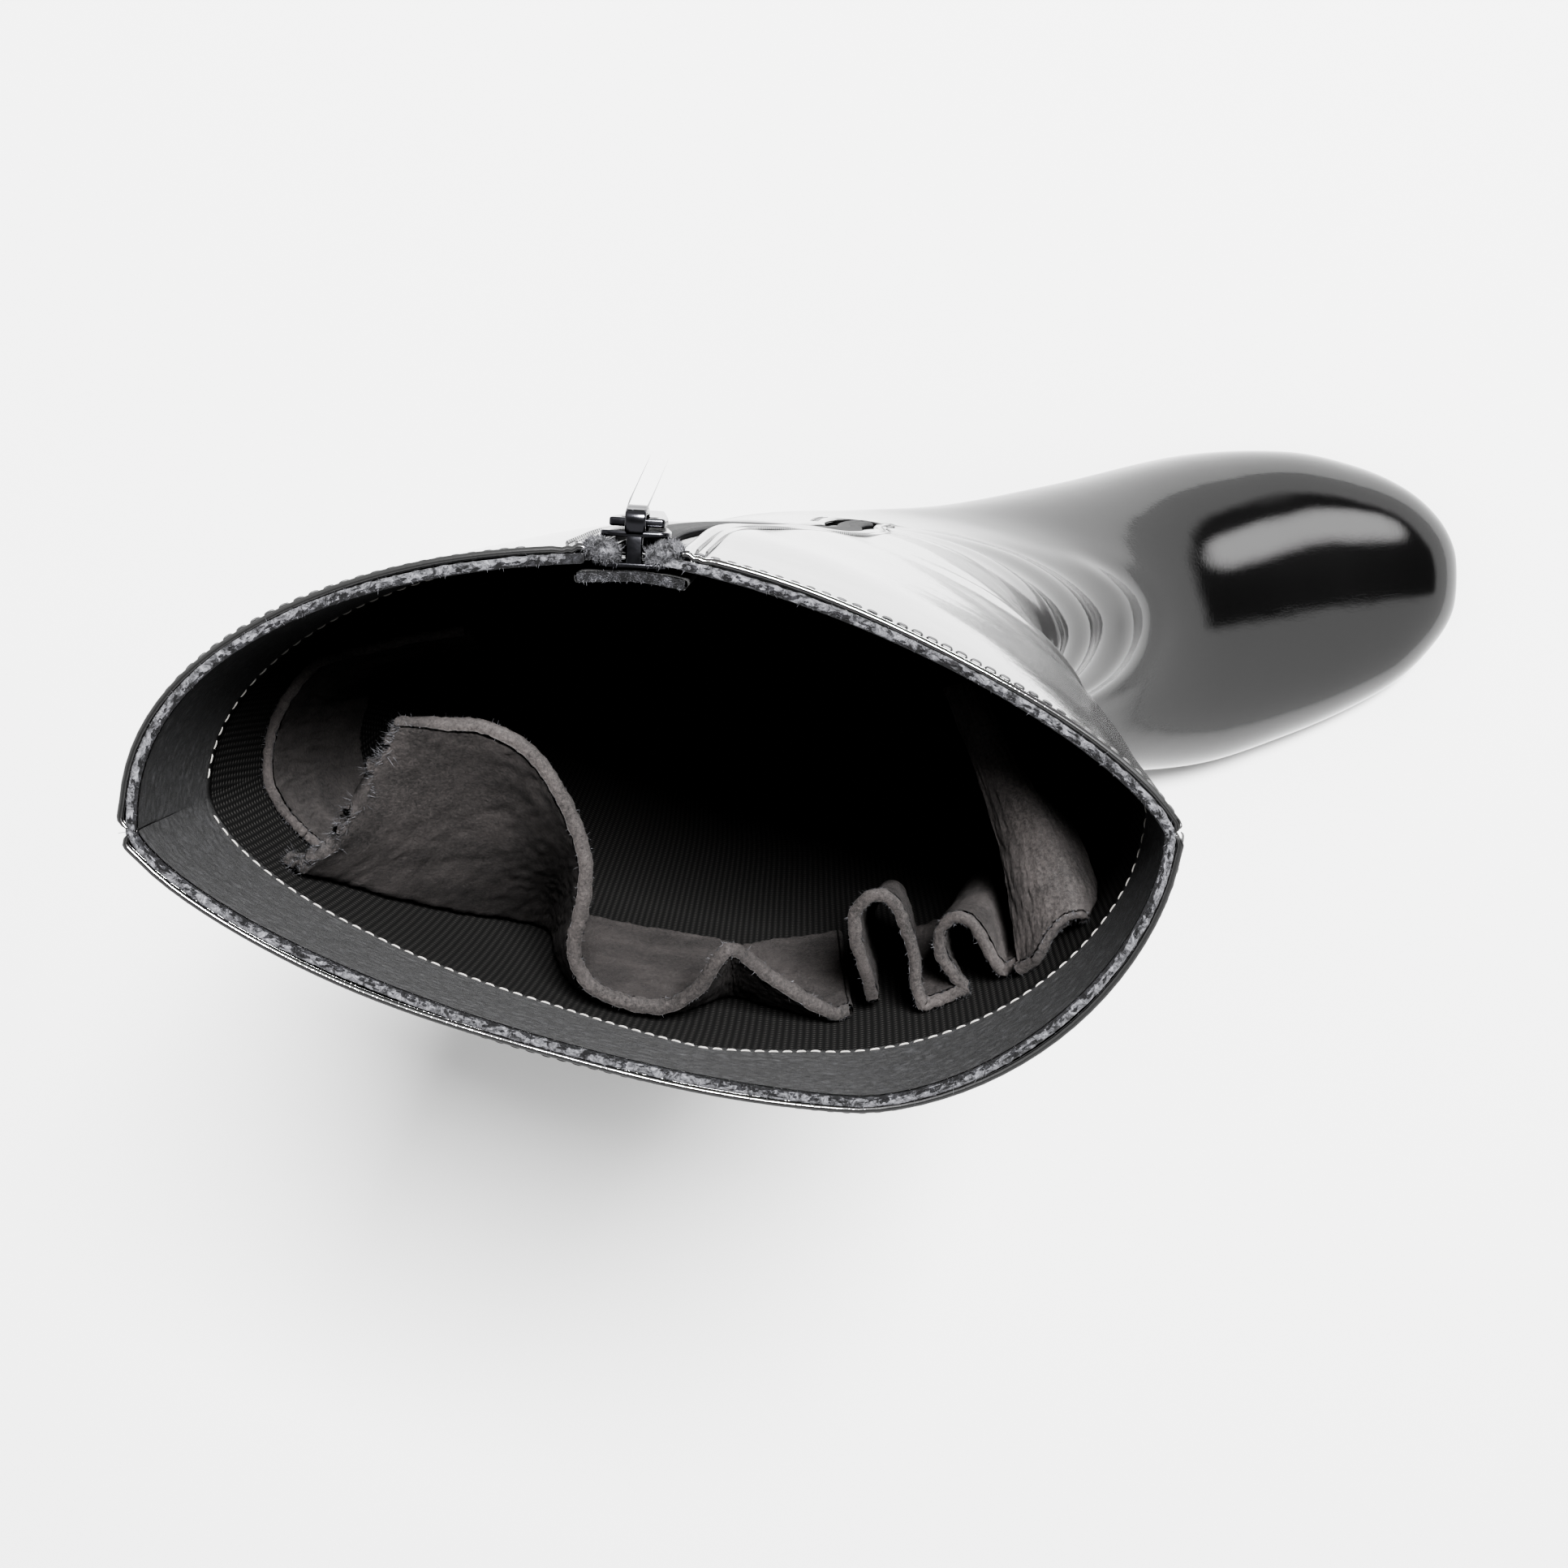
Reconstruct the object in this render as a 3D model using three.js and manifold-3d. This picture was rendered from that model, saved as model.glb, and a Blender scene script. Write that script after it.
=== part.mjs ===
// Right-foot knee boot in black patent leather: one hollow upper from the collar to the feather line, a zip
// up the inner side, an insole, a thin outsole and a covered block heel with its top piece.
// Millimetres. +X runs to the toe, +Y to the inner (medial) side, +Z up. The origin is the middle of the
// heel's top piece, on the floor.
import * as THREE from "three";
import Module from "manifold-3d";
import { mergeVertices } from "three/addons/utils/BufferGeometryUtils.js";

// Last and leg.
const footLength = 246; // back of the counter to the tip of the toe
const heelOverhang = 40; // back of the counter behind the middle of the heel
const ballWidth = 92;
const heelRise = 64; // footbed above the floor at the middle of the heel
const toeSpring = 7;
const ankleHeight = 100; // footbed at the heel to the narrowest part of the ankle
const ankleDepth = 104; // front to back
const ankleWidth = 65;
const ankleBack = 32; // back of the ankle behind the middle of the heel
const collarHeight = 455; // floor to the top edge
const collarDepth = 143.5; // front seam to back seam
const collarWidth = 77.4;
const collarBack = 68.5; // back of the collar behind the middle of the heel
const collarSway = 1.3; // the slack collar leans this far to the inner side

// Walls, layers and clearances.
const wall = 2.2; // patent leather and felt together
const leather = 1.0; // outer layer alone, which laps over the zip tape
const gap = 0.3; // between two pieces that touch
const soleThickness = 4;
const soleInset = 0.4; // sole edge inside the feather line of the upper
const insoleThickness = 2.5;
const topPieceThickness = 5.5;

// Heel block.
const heelBreast = 36; // front of the heel, ahead of its middle, at the seat
const breastHollow = 3; // how far the heel's front curves in
const heelTaper = 0.78; // size of the top piece against the seat
const heelSweep = 2; // how far the top piece lies ahead of the seat
const heelCurve = 1.5; // above 1 the heel's back is hollow

// Zip, its guard behind it, and the slider.
const zipOpening = 13; // between the two leather edges
const zipBottom = 100; // lower end of the opening above the floor
const zipShareTop = 0.51; // where the zip lies on the leg, as a share from front to back
const zipShareFoot = 0.42;
const zipStraight = 0.75; // share of the leg above which the zip keeps its top place
const tapeWidth = 24;
const tapeThickness = 0.8;
const chainWidth = 6.2;
const chainThickness = 2.2;
const guardWidth = 15.5;
const guardThickness = 1.4;
const guardLength = 330;
const guardBowLength = 35; // top stretch that bows in behind the slider
const sliderWidth = 9.4;
const sliderLength = 11.5;
const sliderTail = 0.76; // width of its lower end against its upper end
const sliderCorner = 1.6;
const sliderDrop = 1; // top of the slider below the collar
const plateThickness = 0.8;
const plateRise = 0.9; // underside of the outer plate above the leather
const postWidth = 2.2;
const postLength = 4.5;
const bridgeWidth = 2.8;
const bridgeHeight = 2.9;
const bridgeLength = 7;
const bridgeBar = 1;
const pullWidth = 7.5;
const pullLength = 31;
const pullTip = 2.9; // width of the pull at its lower end
const pullThickness = 1.2;
const pullArm = 1.3;
const pullWindow = 5.2; // length of the hole that takes the bridge
const pullSeat = 1; // hinge above the outer plate

const ringPoints = 36;
const ringsPerRow = 2;

// Footbed height along the foot, as a share of the rise from the tread to the heel seat.
const footbedRows = table(
  ["along", "lift"],
  [
    [-0.1, 1.12],
    [0.0, 1.08],
    [0.1, 1.04],
    [0.2, 0.96],
    [0.3, 0.8],
    [0.4, 0.57],
    [0.5, 0.32],
    [0.58, 0.14],
    [0.66, 0.025],
    [0.72, 0],
    [0.84, 0],
    [1.1, 0],
  ],
);
const treadEnd = 0.84; // share of the foot's length at which the toe spring starts

// Leg sections, level, from the collar down to the ankle. Up is a share of the leg above the ankle. Lean,
// swell and spread say how far the back, the depth and the width have gone from the ankle's to the collar's.
// WidestIn and widestOut are where each side is widest, from the front. The last four are the roundness of
// each quarter: 2 is an ellipse, less is more pointed.
const legRows = table(
  [
    "up", "lean", "swell", "spread", "sway", "widestIn", "widestOut",
    "frontIn", "frontOut", "backIn", "backOut",
  ],
  [
    [1.0, 1.0, 1.0, 1.0, 1.0, 0.514, 0.3, 1.39, 1.75, 2.25, 1.47],
    [0.94, 0.99, 0.99, 1.05, 1.0, 0.512, 0.32, 1.44, 1.8, 2.15, 1.57],
    [0.83, 0.95, 0.96, 1.12, 0.9, 0.505, 0.37, 1.47, 1.9, 2.05, 1.72],
    [0.66, 0.82, 0.85, 1.0, 0.7, 0.5, 0.44, 1.47, 2.0, 2.0, 1.9],
    [0.47, 0.55, 0.6, 0.73, 0.4, 0.5, 0.48, 1.51, 2.0, 2.0, 2.0],
    [0.3, 0.24, 0.3, 0.45, 0.2, 0.5, 0.5, 1.6, 2.0, 2.0, 2.0],
    [0.15, 0.06, 0.08, 0.2, 0.08, 0.5, 0.5, 1.8, 2.0, 2.0, 2.0],
    [0, 0, 0, 0, 0, 0.5, 0.5, 2.0, 2.0, 2.0, 2.1],
  ],
);

// Foot sections, from the ankle to the toe. Each is a plane through a point on the instep line (top) and one
// on the heel or sole line (low). Along is a share of the foot's length, up a share of the ankle's height
// above the footbed at low. Inner, outer and sway are shares of the ball width, and widest is where the
// section is widest, from the top.
const footRows = table(
  ["topAlong", "topUp", "lowAlong", "lowUp", "inner", "outer", "widest", "crown", "base", "sway"],
  [
    [0.463, 0.72, 0.016, 0.66, 0.35, 0.355, 0.52, 2.0, 2.1, 0],
    [0.483, 0.5, 0.0, 0.39, 0.35, 0.36, 0.55, 2.0, 2.1, 0],
    [0.515, 0.3, -0.003, 0.14, 0.35, 0.365, 0.58, 2.0, 2.1, 0],
    [0.552, 0.145, 0.01, -0.09, 0.355, 0.37, 0.6, 2.0, 2.2, 0],
    [0.592, 0.03, 0.1, -0.12, 0.355, 0.385, 0.6, 2.0, 2.3, 0],
    [0.637, 0.025, 0.27, -0.1, 0.37, 0.43, 0.6, 2.0, 2.5, 0],
    [0.69, 0.165, 0.44, -0.09, 0.42, 0.49, 0.6, 2.05, 2.6, 0.01],
    [0.752, 0.33, 0.62, -0.08, 0.48, 0.51, 0.6, 2.1, 2.6, 0.03],
    [0.817, 0.315, 0.77, -0.08, 0.465, 0.45, 0.6, 2.15, 2.6, 0.055],
    [0.882, 0.262, 0.865, -0.08, 0.4, 0.38, 0.6, 2.2, 2.5, 0.075],
    [0.935, 0.195, 0.93, -0.07, 0.315, 0.3, 0.58, 2.2, 2.4, 0.09],
    [0.972, 0.125, 0.972, -0.05, 0.215, 0.2, 0.56, 2.1, 2.2, 0.1],
    [0.993, 0.06, 0.993, -0.01, 0.11, 0.105, 0.54, 2.0, 2.0, 0.105],
    [1.0, 0, 1.0, 0, 0, 0, 0.5, 2.0, 2.0, 0.107],
  ],
);

const wasm = await Module();
wasm.setup();

// Rows of numbers as objects with the given column names.
function table(columns, rows) {
  return rows.map((row) => Object.fromEntries(columns.map((name, i) => [name, row[i]])));
}

// Value of a smooth curve through numbers at parameter t, counted in numbers (Catmull-Rom).
function smooth(values, t) {
  const last = values.length - 1;
  const i = Math.min(Math.max(Math.floor(t), 0), last - 1);
  const f = t - i;
  const [a, b, c, d] = [i - 1, i, i + 1, i + 2].map((k) => values[Math.min(Math.max(k, 0), last)]);
  return b + 0.5 * f * (c - a + f * (2 * a - 5 * b + 4 * c - d + f * (3 * (b - c) + d - a)));
}

const alongX = (along) => along * footLength - heelOverhang;

// Height of the footbed, the surface between sole and insole, at x.
function footbed(x) {
  const along = (x + heelOverhang) / footLength;
  const last = footbedRows.length - 2;
  const after = footbedRows.findIndex((row) => row.along > along);
  const i = after < 0 ? last : Math.max(after - 1, 0);
  const t = i + (along - footbedRows[i].along) / (footbedRows[i + 1].along - footbedRows[i].along);
  const lift = Math.max(smooth(footbedRows.map((row) => row.lift), t), 0);
  const toe = Math.max(along - treadEnd, 0) / (1 - treadEnd);
  return soleThickness + lift * (heelRise - soleThickness) + toeSpring * toe * toe;
}

// A level section of the leg in millimetres.
function legSection(row) {
  const ankle = heelRise + ankleHeight;
  const z = ankle + row.up * (collarHeight - ankle);
  const lowX = -ankleBack - row.lean * (collarBack - ankleBack);
  const half = (ankleWidth + row.spread * (collarWidth - ankleWidth)) / 2;
  const topX = lowX + ankleDepth + row.swell * (collarDepth - ankleDepth);
  const { widestIn, widestOut, frontIn, frontOut, backIn, backOut } = row;
  const form = { widestIn, widestOut, frontIn, frontOut, backIn, backOut };
  return { topX, topZ: z, lowX, lowZ: z, inner: half, outer: half, sway: row.sway * collarSway, ...form };
}

// A fanned section of the foot in millimetres.
function footSection(row) {
  const bed = footbed(alongX(row.lowAlong));
  return {
    topX: alongX(row.topAlong),
    topZ: bed + row.topUp * ankleHeight,
    lowX: alongX(row.lowAlong),
    lowZ: bed + row.lowUp * ankleHeight,
    inner: row.inner * ballWidth,
    outer: row.outer * ballWidth,
    sway: row.sway * ballWidth,
    widestIn: row.widest,
    widestOut: row.widest,
    frontIn: row.crown,
    frontOut: row.crown,
    backIn: row.base,
    backOut: row.base,
  };
}

const sections = [...legRows.map(legSection), ...footRows.map(footSection)];
const lastRow = sections.length - 1;

// The section at parameter t, which counts rows from the collar.
function sectionAt(t) {
  const names = Object.keys(sections[0]);
  return Object.fromEntries(names.map((name) => [name, smooth(sections.map((s) => s[name]), t)]));
}

// Point on a section: angle 0 is its front or top, a quarter turn the inner side, half a turn its back.
function sectionPoint(s, angle) {
  const [c, sn] = [Math.cos(angle), Math.sin(angle)];
  const isInner = sn >= 0;
  const widest = isInner ? s.widestIn : s.widestOut;
  const roundness = c >= 0 ? (isInner ? s.frontIn : s.frontOut) : isInner ? s.backIn : s.backOut;
  const reach = Math.abs(c) ** (2 / roundness);
  const share = c >= 0 ? widest * (1 - reach) : widest + (1 - widest) * reach;
  const half = Math.abs(sn) ** (2 / roundness) * (isInner ? s.inner : -s.outer);
  return new THREE.Vector3(lerp(s.topX, s.lowX, share), s.sway + half, lerp(s.topZ, s.lowZ, share));
}

function lerp(a, b, f) {
  return a + (b - a) * f;
}

// Angle at which the inner side of a section has gone the given share from its front to its back.
function innerAngle(s, share) {
  if (share < s.widestIn) return Math.acos((1 - share / s.widestIn) ** (s.frontIn / 2));
  return Math.PI - Math.acos(((share - s.widestIn) / (1 - s.widestIn)) ** (s.backIn / 2));
}

function ringAt(t) {
  const s = sectionAt(t);
  return Array.from({ length: ringPoints }, (_, k) => sectionPoint(s, (2 * Math.PI * k) / ringPoints));
}

// Rings from row `from` to row `to`, at the same parameters for every piece that follows the upper.
function ringsBetween(from, to) {
  const count = Math.round((to - from) * ringsPerRow);
  return Array.from({ length: count + 1 }, (_, i) => ringAt(from + i / ringsPerRow));
}

// Rings moved inwards, at right angles to the skin.
function insetRings(rings, depth) {
  const normals = [];
  rings.forEach((ring, i) => {
    const before = rings[Math.max(i - 1, 0)];
    const after = rings[Math.min(i + 1, rings.length - 1)];
    const row = ring.map((_, k) => {
      const across = ring[(k + 1) % ringPoints].clone().sub(ring[(k + ringPoints - 1) % ringPoints]);
      return after[k].clone().sub(before[k]).cross(across).normalize();
    });
    const isTip = row[0].lengthSq() === 0;
    normals.push(isTip ? row.map(() => sum(normals[i - 1]).normalize()) : row);
  });
  const depthAt = typeof depth === "function" ? depth : () => depth;
  return rings.map((ring, i) => ring.map((p, k) => p.clone().addScaledVector(normals[i][k], -depthAt(p))));
}

function sum(vectors) {
  return vectors.reduce((total, v) => total.add(v), new THREE.Vector3());
}

// The same rings with one more above the first, so that a cut runs out through the collar.
function openedUp(rings, height) {
  return [rings[0].map((p) => p.clone().add(new THREE.Vector3(0, 0, height))), ...rings];
}

// Closed solid through rings of equal length, each counter-clockwise seen from the end it starts at.
function loft(rings) {
  const n = rings[0].length;
  const points = rings.flat();
  const faces = [];
  for (let i = 0; i + 1 < rings.length; i++) {
    for (let k = 0; k < n; k++) {
      const next = (k + 1) % n;
      const [a, b, c, d] = [i * n + k, i * n + next, (i + 1) * n + next, (i + 1) * n + k];
      faces.push([a, d, b], [b, d, c]);
    }
  }
  for (const [ring, first, isEnd] of [[rings[0], 0, false], [rings.at(-1), (rings.length - 1) * n, true]]) {
    const middle = points.push(sum(ring).divideScalar(n)) - 1;
    for (let k = 0; k < n; k++) {
      const edge = [first + k, first + ((k + 1) % n)];
      faces.push(isEnd ? [middle, edge[1], edge[0]] : [middle, edge[0], edge[1]]);
    }
  }
  const geometry = new THREE.BufferGeometry().setFromPoints(points);
  geometry.setIndex(faces.flat());
  return solid(geometry);
}

// A three.js geometry as a solid that can be joined and cut.
function solid(geometry) {
  const bare = geometry.clone();
  for (const name of Object.keys(bare.attributes)) {
    if (name !== "position") bare.deleteAttribute(name);
  }
  const merged = mergeVertices(bare, 1e-4);
  const index = merged.index.array;
  const kept = [];
  for (let i = 0; i < index.length; i += 3) {
    const [a, b, c] = index.slice(i, i + 3);
    if (a !== b && b !== c && c !== a) kept.push(a, b, c);
  }
  const vertProperties = new Float32Array(merged.attributes.position.array);
  return new wasm.Manifold(new wasm.Mesh({ numProp: 3, vertProperties, triVerts: new Uint32Array(kept) }));
}

// A flat shape extruded along its normal between two heights.
function extruded(shape, from, to) {
  const settings = { depth: to - from, bevelEnabled: false, curveSegments: 4 };
  return new THREE.ExtrudeGeometry(shape, settings).translate(0, 0, from);
}

// Slab across the whole foot between two heights given as functions of x.
function slab(bottom, top) {
  const steps = 42;
  const overrun = 20;
  const [start, end] = [alongX(0) - overrun, alongX(1) + overrun];
  const xs = Array.from({ length: steps + 1 }, (_, i) => lerp(start, end, i / steps));
  const lower = xs.map((x) => new THREE.Vector2(x, bottom(x)));
  const upper = xs.map((x) => new THREE.Vector2(x, top(x))).reverse();
  const profile = extruded(new THREE.Shape([...lower, ...upper]), -ballWidth, ballWidth);
  return solid(profile.rotateX(Math.PI / 2));
}

// Points where the upper's outside meets the footbed, counter-clockwise from the back of the heel.
function featherLine() {
  const fine = 8;
  const inner = [];
  const outer = [];
  for (let i = 0; i <= lastRow * fine; i++) {
    const s = sectionAt(i / fine);
    for (const [side, line] of [[1, inner], [-1, outer]]) {
      const crossing = footbedCrossing(s, side);
      if (crossing) line.push(crossing);
    }
  }
  return [...outer, ...inner.reverse()];
}

// Where the inner (side 1) or outer (side -1) half of a section passes down through the footbed.
function footbedCrossing(s, side) {
  const steps = 60;
  let previous = null;
  for (let k = 0; k <= steps; k++) {
    const p = sectionPoint(s, (side * Math.PI * k) / steps);
    const above = p.z - footbed(p.x);
    if (previous && previous.above >= 0 && above < 0) {
      const f = previous.above / (previous.above - above);
      return new THREE.Vector2(lerp(previous.p.x, p.x, f), lerp(previous.p.y, p.y, f));
    }
    previous = { p, above };
  }
  return null;
}

// A closed outline with evenly spaced points, moved inwards.
function insetOutline(points, inset) {
  const count = 56;
  const flat = points.map((p) => new THREE.Vector3(p.x, p.y, 0));
  const curve = new THREE.CatmullRomCurve3(flat, true, "centripetal");
  const even = curve.getSpacedPoints(count).slice(0, count);
  return even.map((p, i) => {
    const tangent = even[(i + 1) % count].clone().sub(even[(i + count - 1) % count]).normalize();
    return new THREE.Vector2(p.x - tangent.y * inset, p.y + tangent.x * inset);
  });
}

const rings = ringsBetween(0, lastRow);
const soleOutline = insetOutline(featherLine(), soleInset);
const belowAll = () => -heelRise;

// The zip's place on the upper at parameter t: a point on the skin, and the directions back, up and outwards.
function zipFrame(t) {
  const s = sectionAt(t);
  const ankle = heelRise + ankleHeight;
  const straight = lerp(ankle, collarHeight, zipStraight);
  const share = lerp(zipShareFoot, zipShareTop, THREE.MathUtils.smoothstep(s.topZ, ankle, straight));
  const point = sectionPoint(s, innerAngle(s, share));
  const step = 0.02;
  const back = sectionPoint(s, innerAngle(s, share + step)).sub(sectionPoint(s, innerAngle(s, share - step)));
  const [above, below] = [sectionAt(t - step), sectionAt(t + step)].map((near) => {
    return sectionPoint(near, innerAngle(near, share));
  });
  back.normalize();
  const outward = back.clone().cross(above.sub(below)).normalize();
  return { point, back, up: outward.clone().cross(back), outward };
}

// Parameter at which the zip has a given height above the floor.
function zipParameter(height) {
  let [high, low] = [0, lastRow];
  for (let i = 0; i < 30; i++) {
    const middle = (high + low) / 2;
    if (zipFrame(middle).point.z > height) high = middle;
    else low = middle;
  }
  return (high + low) / 2;
}

// Strip along the zip between two heights, `out` proud of the skin and `into` deep.
function zipStrip({ top, bottom, width, out, into }) {
  const [first, last] = [zipParameter(Math.min(top, collarHeight)), zipParameter(bottom)];
  const least = 0.05;
  const inner = rings.map((_, i) => i / ringsPerRow).filter((t) => t > first + least && t < last - least);
  const strip = [first, ...inner, last].map((t) => {
    const { point, back, outward } = zipFrame(t);
    return [[-1, -into], [-1, out], [1, out], [1, -into]].map(([side, rise]) => {
      return point.clone().addScaledVector(back, (side * width) / 2).addScaledVector(outward, rise);
    });
  });
  return loft(top > collarHeight ? openedUp(strip, top - collarHeight) : strip);
}

// The upper's own form moved inwards, from above the collar to below the zip.
function legCore(depth) {
  const below = Math.ceil(zipParameter(zipBottom)) + 1;
  return loft(openedUp(insetRings(ringsBetween(0, below), depth), zipOpening));
}

const zipTop = collarHeight + zipOpening;
const cutReach = 6; // how far the zip's cuts run past the wall on either side

function upper() {
  const cavity = loft(openedUp(insetRings(rings, wall), zipOpening));
  const underside = slab(belowAll, (x) => footbed(x) + gap);
  const cut = { top: zipTop, bottom: zipBottom, out: cutReach, into: cutReach };
  const opening = zipStrip({ ...cut, width: zipOpening });
  const tapeSlot = zipStrip({ ...cut, bottom: zipBottom - gap, width: tapeWidth + 2 * gap });
  const tapeRoom = tapeSlot.intersect(legCore(leather));
  return loft(rings).subtract(cavity).subtract(underside).subtract(opening).subtract(tapeRoom);
}

function insole() {
  const bottom = (x) => footbed(x) + gap;
  return loft(insetRings(rings, wall + gap)).intersect(slab(bottom, (x) => bottom(x) + insoleThickness));
}

const soleUnderside = (x) => footbed(x) - soleThickness;

function outsole() {
  const block = solid(extruded(new THREE.Shape(soleOutline), -heelRise, 2 * heelRise));
  return block.intersect(slab(soleUnderside, footbed));
}

// Outline of the heel at the seat: the sole's outline behind the breast, closed by a hollow front.
function heelOutline() {
  const start = soleOutline.findIndex((p, i) => p.x < heelBreast && soleOutline.at(i - 1).x >= heelBreast);
  const turned = [...soleOutline.slice(start), ...soleOutline.slice(0, start)];
  const round = turned.filter((p) => p.x < heelBreast - breastHollow);
  const [from, to] = [round.at(-1).y, round[0].y];
  const steps = 6;
  const front = Array.from({ length: steps + 1 }, (_, i) => {
    const f = i / steps;
    return new THREE.Vector2(heelBreast - breastHollow * 4 * f * (1 - f), lerp(from, to, f));
  });
  return [...round, ...front];
}

// The heel's outline at a height: it tapers towards the floor in a hollow curve and leans a little forward.
function heelRing(z) {
  const rise = Math.max(z, 0) / heelRise;
  const size = heelTaper + (1 - heelTaper) * rise ** heelCurve;
  const middle = (heelBreast - heelOverhang) / 2;
  const shift = heelSweep * (1 - rise);
  return heelOutline().map((p) => new THREE.Vector3(middle + (p.x - middle) * size + shift, p.y * size, z));
}

function heel() {
  const levels = 9;
  const [bottom, top] = [topPieceThickness + gap, 1.2 * heelRise];
  const levelRings = Array.from({ length: levels }, (_, i) => heelRing(lerp(top, bottom, i / (levels - 1))));
  return loft(levelRings).intersect(slab(belowAll, (x) => soleUnderside(x) - gap));
}

function topPiece() {
  return loft([heelRing(topPieceThickness), heelRing(0)]);
}

// The two halves of the zip tape, the back one first.
function zipTapes() {
  const cut = { top: collarHeight - gap, bottom: zipBottom, out: cutReach, into: cutReach };
  const layer = legCore(leather + gap).subtract(legCore(leather + gap + tapeThickness));
  const split = zipStrip({ ...cut, top: zipTop, bottom: zipBottom - 2 * gap, width: chainWidth + 2 * gap });
  const halves = layer.intersect(zipStrip({ ...cut, width: tapeWidth })).subtract(split).decompose();
  return halves.sort((one, other) => one.boundingBox().min[0] - other.boundingBox().min[0]);
}

const chainTop = collarHeight - sliderDrop - postLength - gap;

function zipChain() {
  const depth = { out: 0, into: chainThickness };
  return zipStrip({ top: chainTop, bottom: zipBottom + gap, width: chainWidth, ...depth });
}

// The guard lies on the inside of the wall and bows in behind the slider's inner plate.
function zipGuard() {
  const [bowStart, bowEnd] = [collarHeight - guardBowLength, collarHeight - sliderLength];
  const bow = (z) => (plateThickness + gap) * THREE.MathUtils.smoothstep(z, bowStart, bowEnd);
  const face = (extra) => (p) => wall + gap + bow(p.z) + extra;
  const layer = legCore(face(0)).subtract(legCore(face(guardThickness)));
  const strip = { top: collarHeight - gap, bottom: collarHeight - guardLength, width: guardWidth };
  return layer.intersect(zipStrip({ ...strip, out: cutReach, into: 2 * cutReach }));
}

// Matrix that puts a piece drawn in back, up and outward directions at the slider's middle.
function sliderPlace(isPlumb) {
  const frame = zipFrame(zipParameter(collarHeight - sliderDrop - sliderLength / 2));
  const up = isPlumb ? new THREE.Vector3(0, 0, 1) : frame.up;
  const back = isPlumb ? frame.back.clone().setZ(0).normalize() : frame.back;
  const outward = back.clone().cross(up);
  return new THREE.Matrix4().makeBasis(back, up, outward).setPosition(frame.point);
}

// A shape drawn up and outwards, extruded from side to side.
function extrudedAcross(shape, width) {
  const turn = new THREE.Matrix4().makeBasis(
    new THREE.Vector3(0, 1, 0),
    new THREE.Vector3(0, 0, 1),
    new THREE.Vector3(1, 0, 0),
  );
  return extruded(shape, -width / 2, width / 2).applyMatrix4(turn);
}

const plateOutside = plateRise + plateThickness;
const bridgeMiddle = (sliderLength - bridgeLength) / 2; // the bridge ends flush with the top of the plates

function sliderPlate(bottom) {
  const [halfTop, halfLow, halfLength] = [sliderWidth / 2, (sliderWidth * sliderTail) / 2, sliderLength / 2];
  const shape = new THREE.Shape();
  shape.moveTo(-halfLow, -halfLength);
  shape.lineTo(halfLow, -halfLength);
  shape.lineTo(halfTop, halfLength / 3);
  shape.lineTo(halfTop, halfLength - sliderCorner);
  shape.quadraticCurveTo(halfTop, halfLength, halfTop - sliderCorner, halfLength);
  shape.lineTo(sliderCorner - halfTop, halfLength);
  shape.quadraticCurveTo(-halfTop, halfLength, -halfTop, halfLength - sliderCorner);
  shape.lineTo(-halfTop, halfLength / 3);
  return extruded(shape, bottom, bottom + plateThickness);
}

// Slider: two plates, the wedge between them that parts the chain, and the bridge for the pull.
function zipSlider() {
  const halfLength = sliderLength / 2;
  const shoulder = halfLength - postLength / 2;
  const post = new THREE.Shape();
  post.moveTo(-postWidth / 2, halfLength);
  post.lineTo(-postWidth / 2, shoulder);
  post.lineTo(0, halfLength - postLength);
  post.lineTo(postWidth / 2, shoulder);
  post.lineTo(postWidth / 2, halfLength);
  const sunk = plateThickness / 2;
  const bridge = new THREE.Shape();
  const [low, high] = [bridgeMiddle - bridgeLength / 2, bridgeMiddle + bridgeLength / 2];
  const [foot, crown] = [plateOutside - sunk, plateOutside + bridgeHeight];
  bridge.moveTo(low, foot);
  bridge.lineTo(low, crown - bridgeBar);
  bridge.quadraticCurveTo(low, crown, low + bridgeBar, crown);
  bridge.lineTo(high - bridgeBar, crown);
  bridge.quadraticCurveTo(high, crown, high, crown - bridgeBar);
  bridge.lineTo(high, foot);
  bridge.lineTo(high - bridgeBar, foot);
  bridge.lineTo(high - bridgeBar, crown - bridgeBar);
  bridge.lineTo(low + bridgeBar, crown - bridgeBar);
  bridge.lineTo(low + bridgeBar, foot);
  const innerPlate = solid(sliderPlate(-wall - gap - plateThickness));
  const wedge = solid(extruded(post, -wall - gap - sunk, plateRise + sunk));
  const arch = solid(extrudedAcross(bridge, bridgeWidth));
  const body = solid(sliderPlate(plateRise)).add(innerPlate).add(wedge).add(arch);
  return body.transform(sliderPlace(false).elements);
}

// Hinge of the pull: the middle of its crossbar, under the bridge.
const pullSeatAt = new THREE.Vector3(0, bridgeMiddle, plateOutside + pullSeat);
const pullHinge = pullSeatAt.applyMatrix4(sliderPlace(false));

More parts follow.
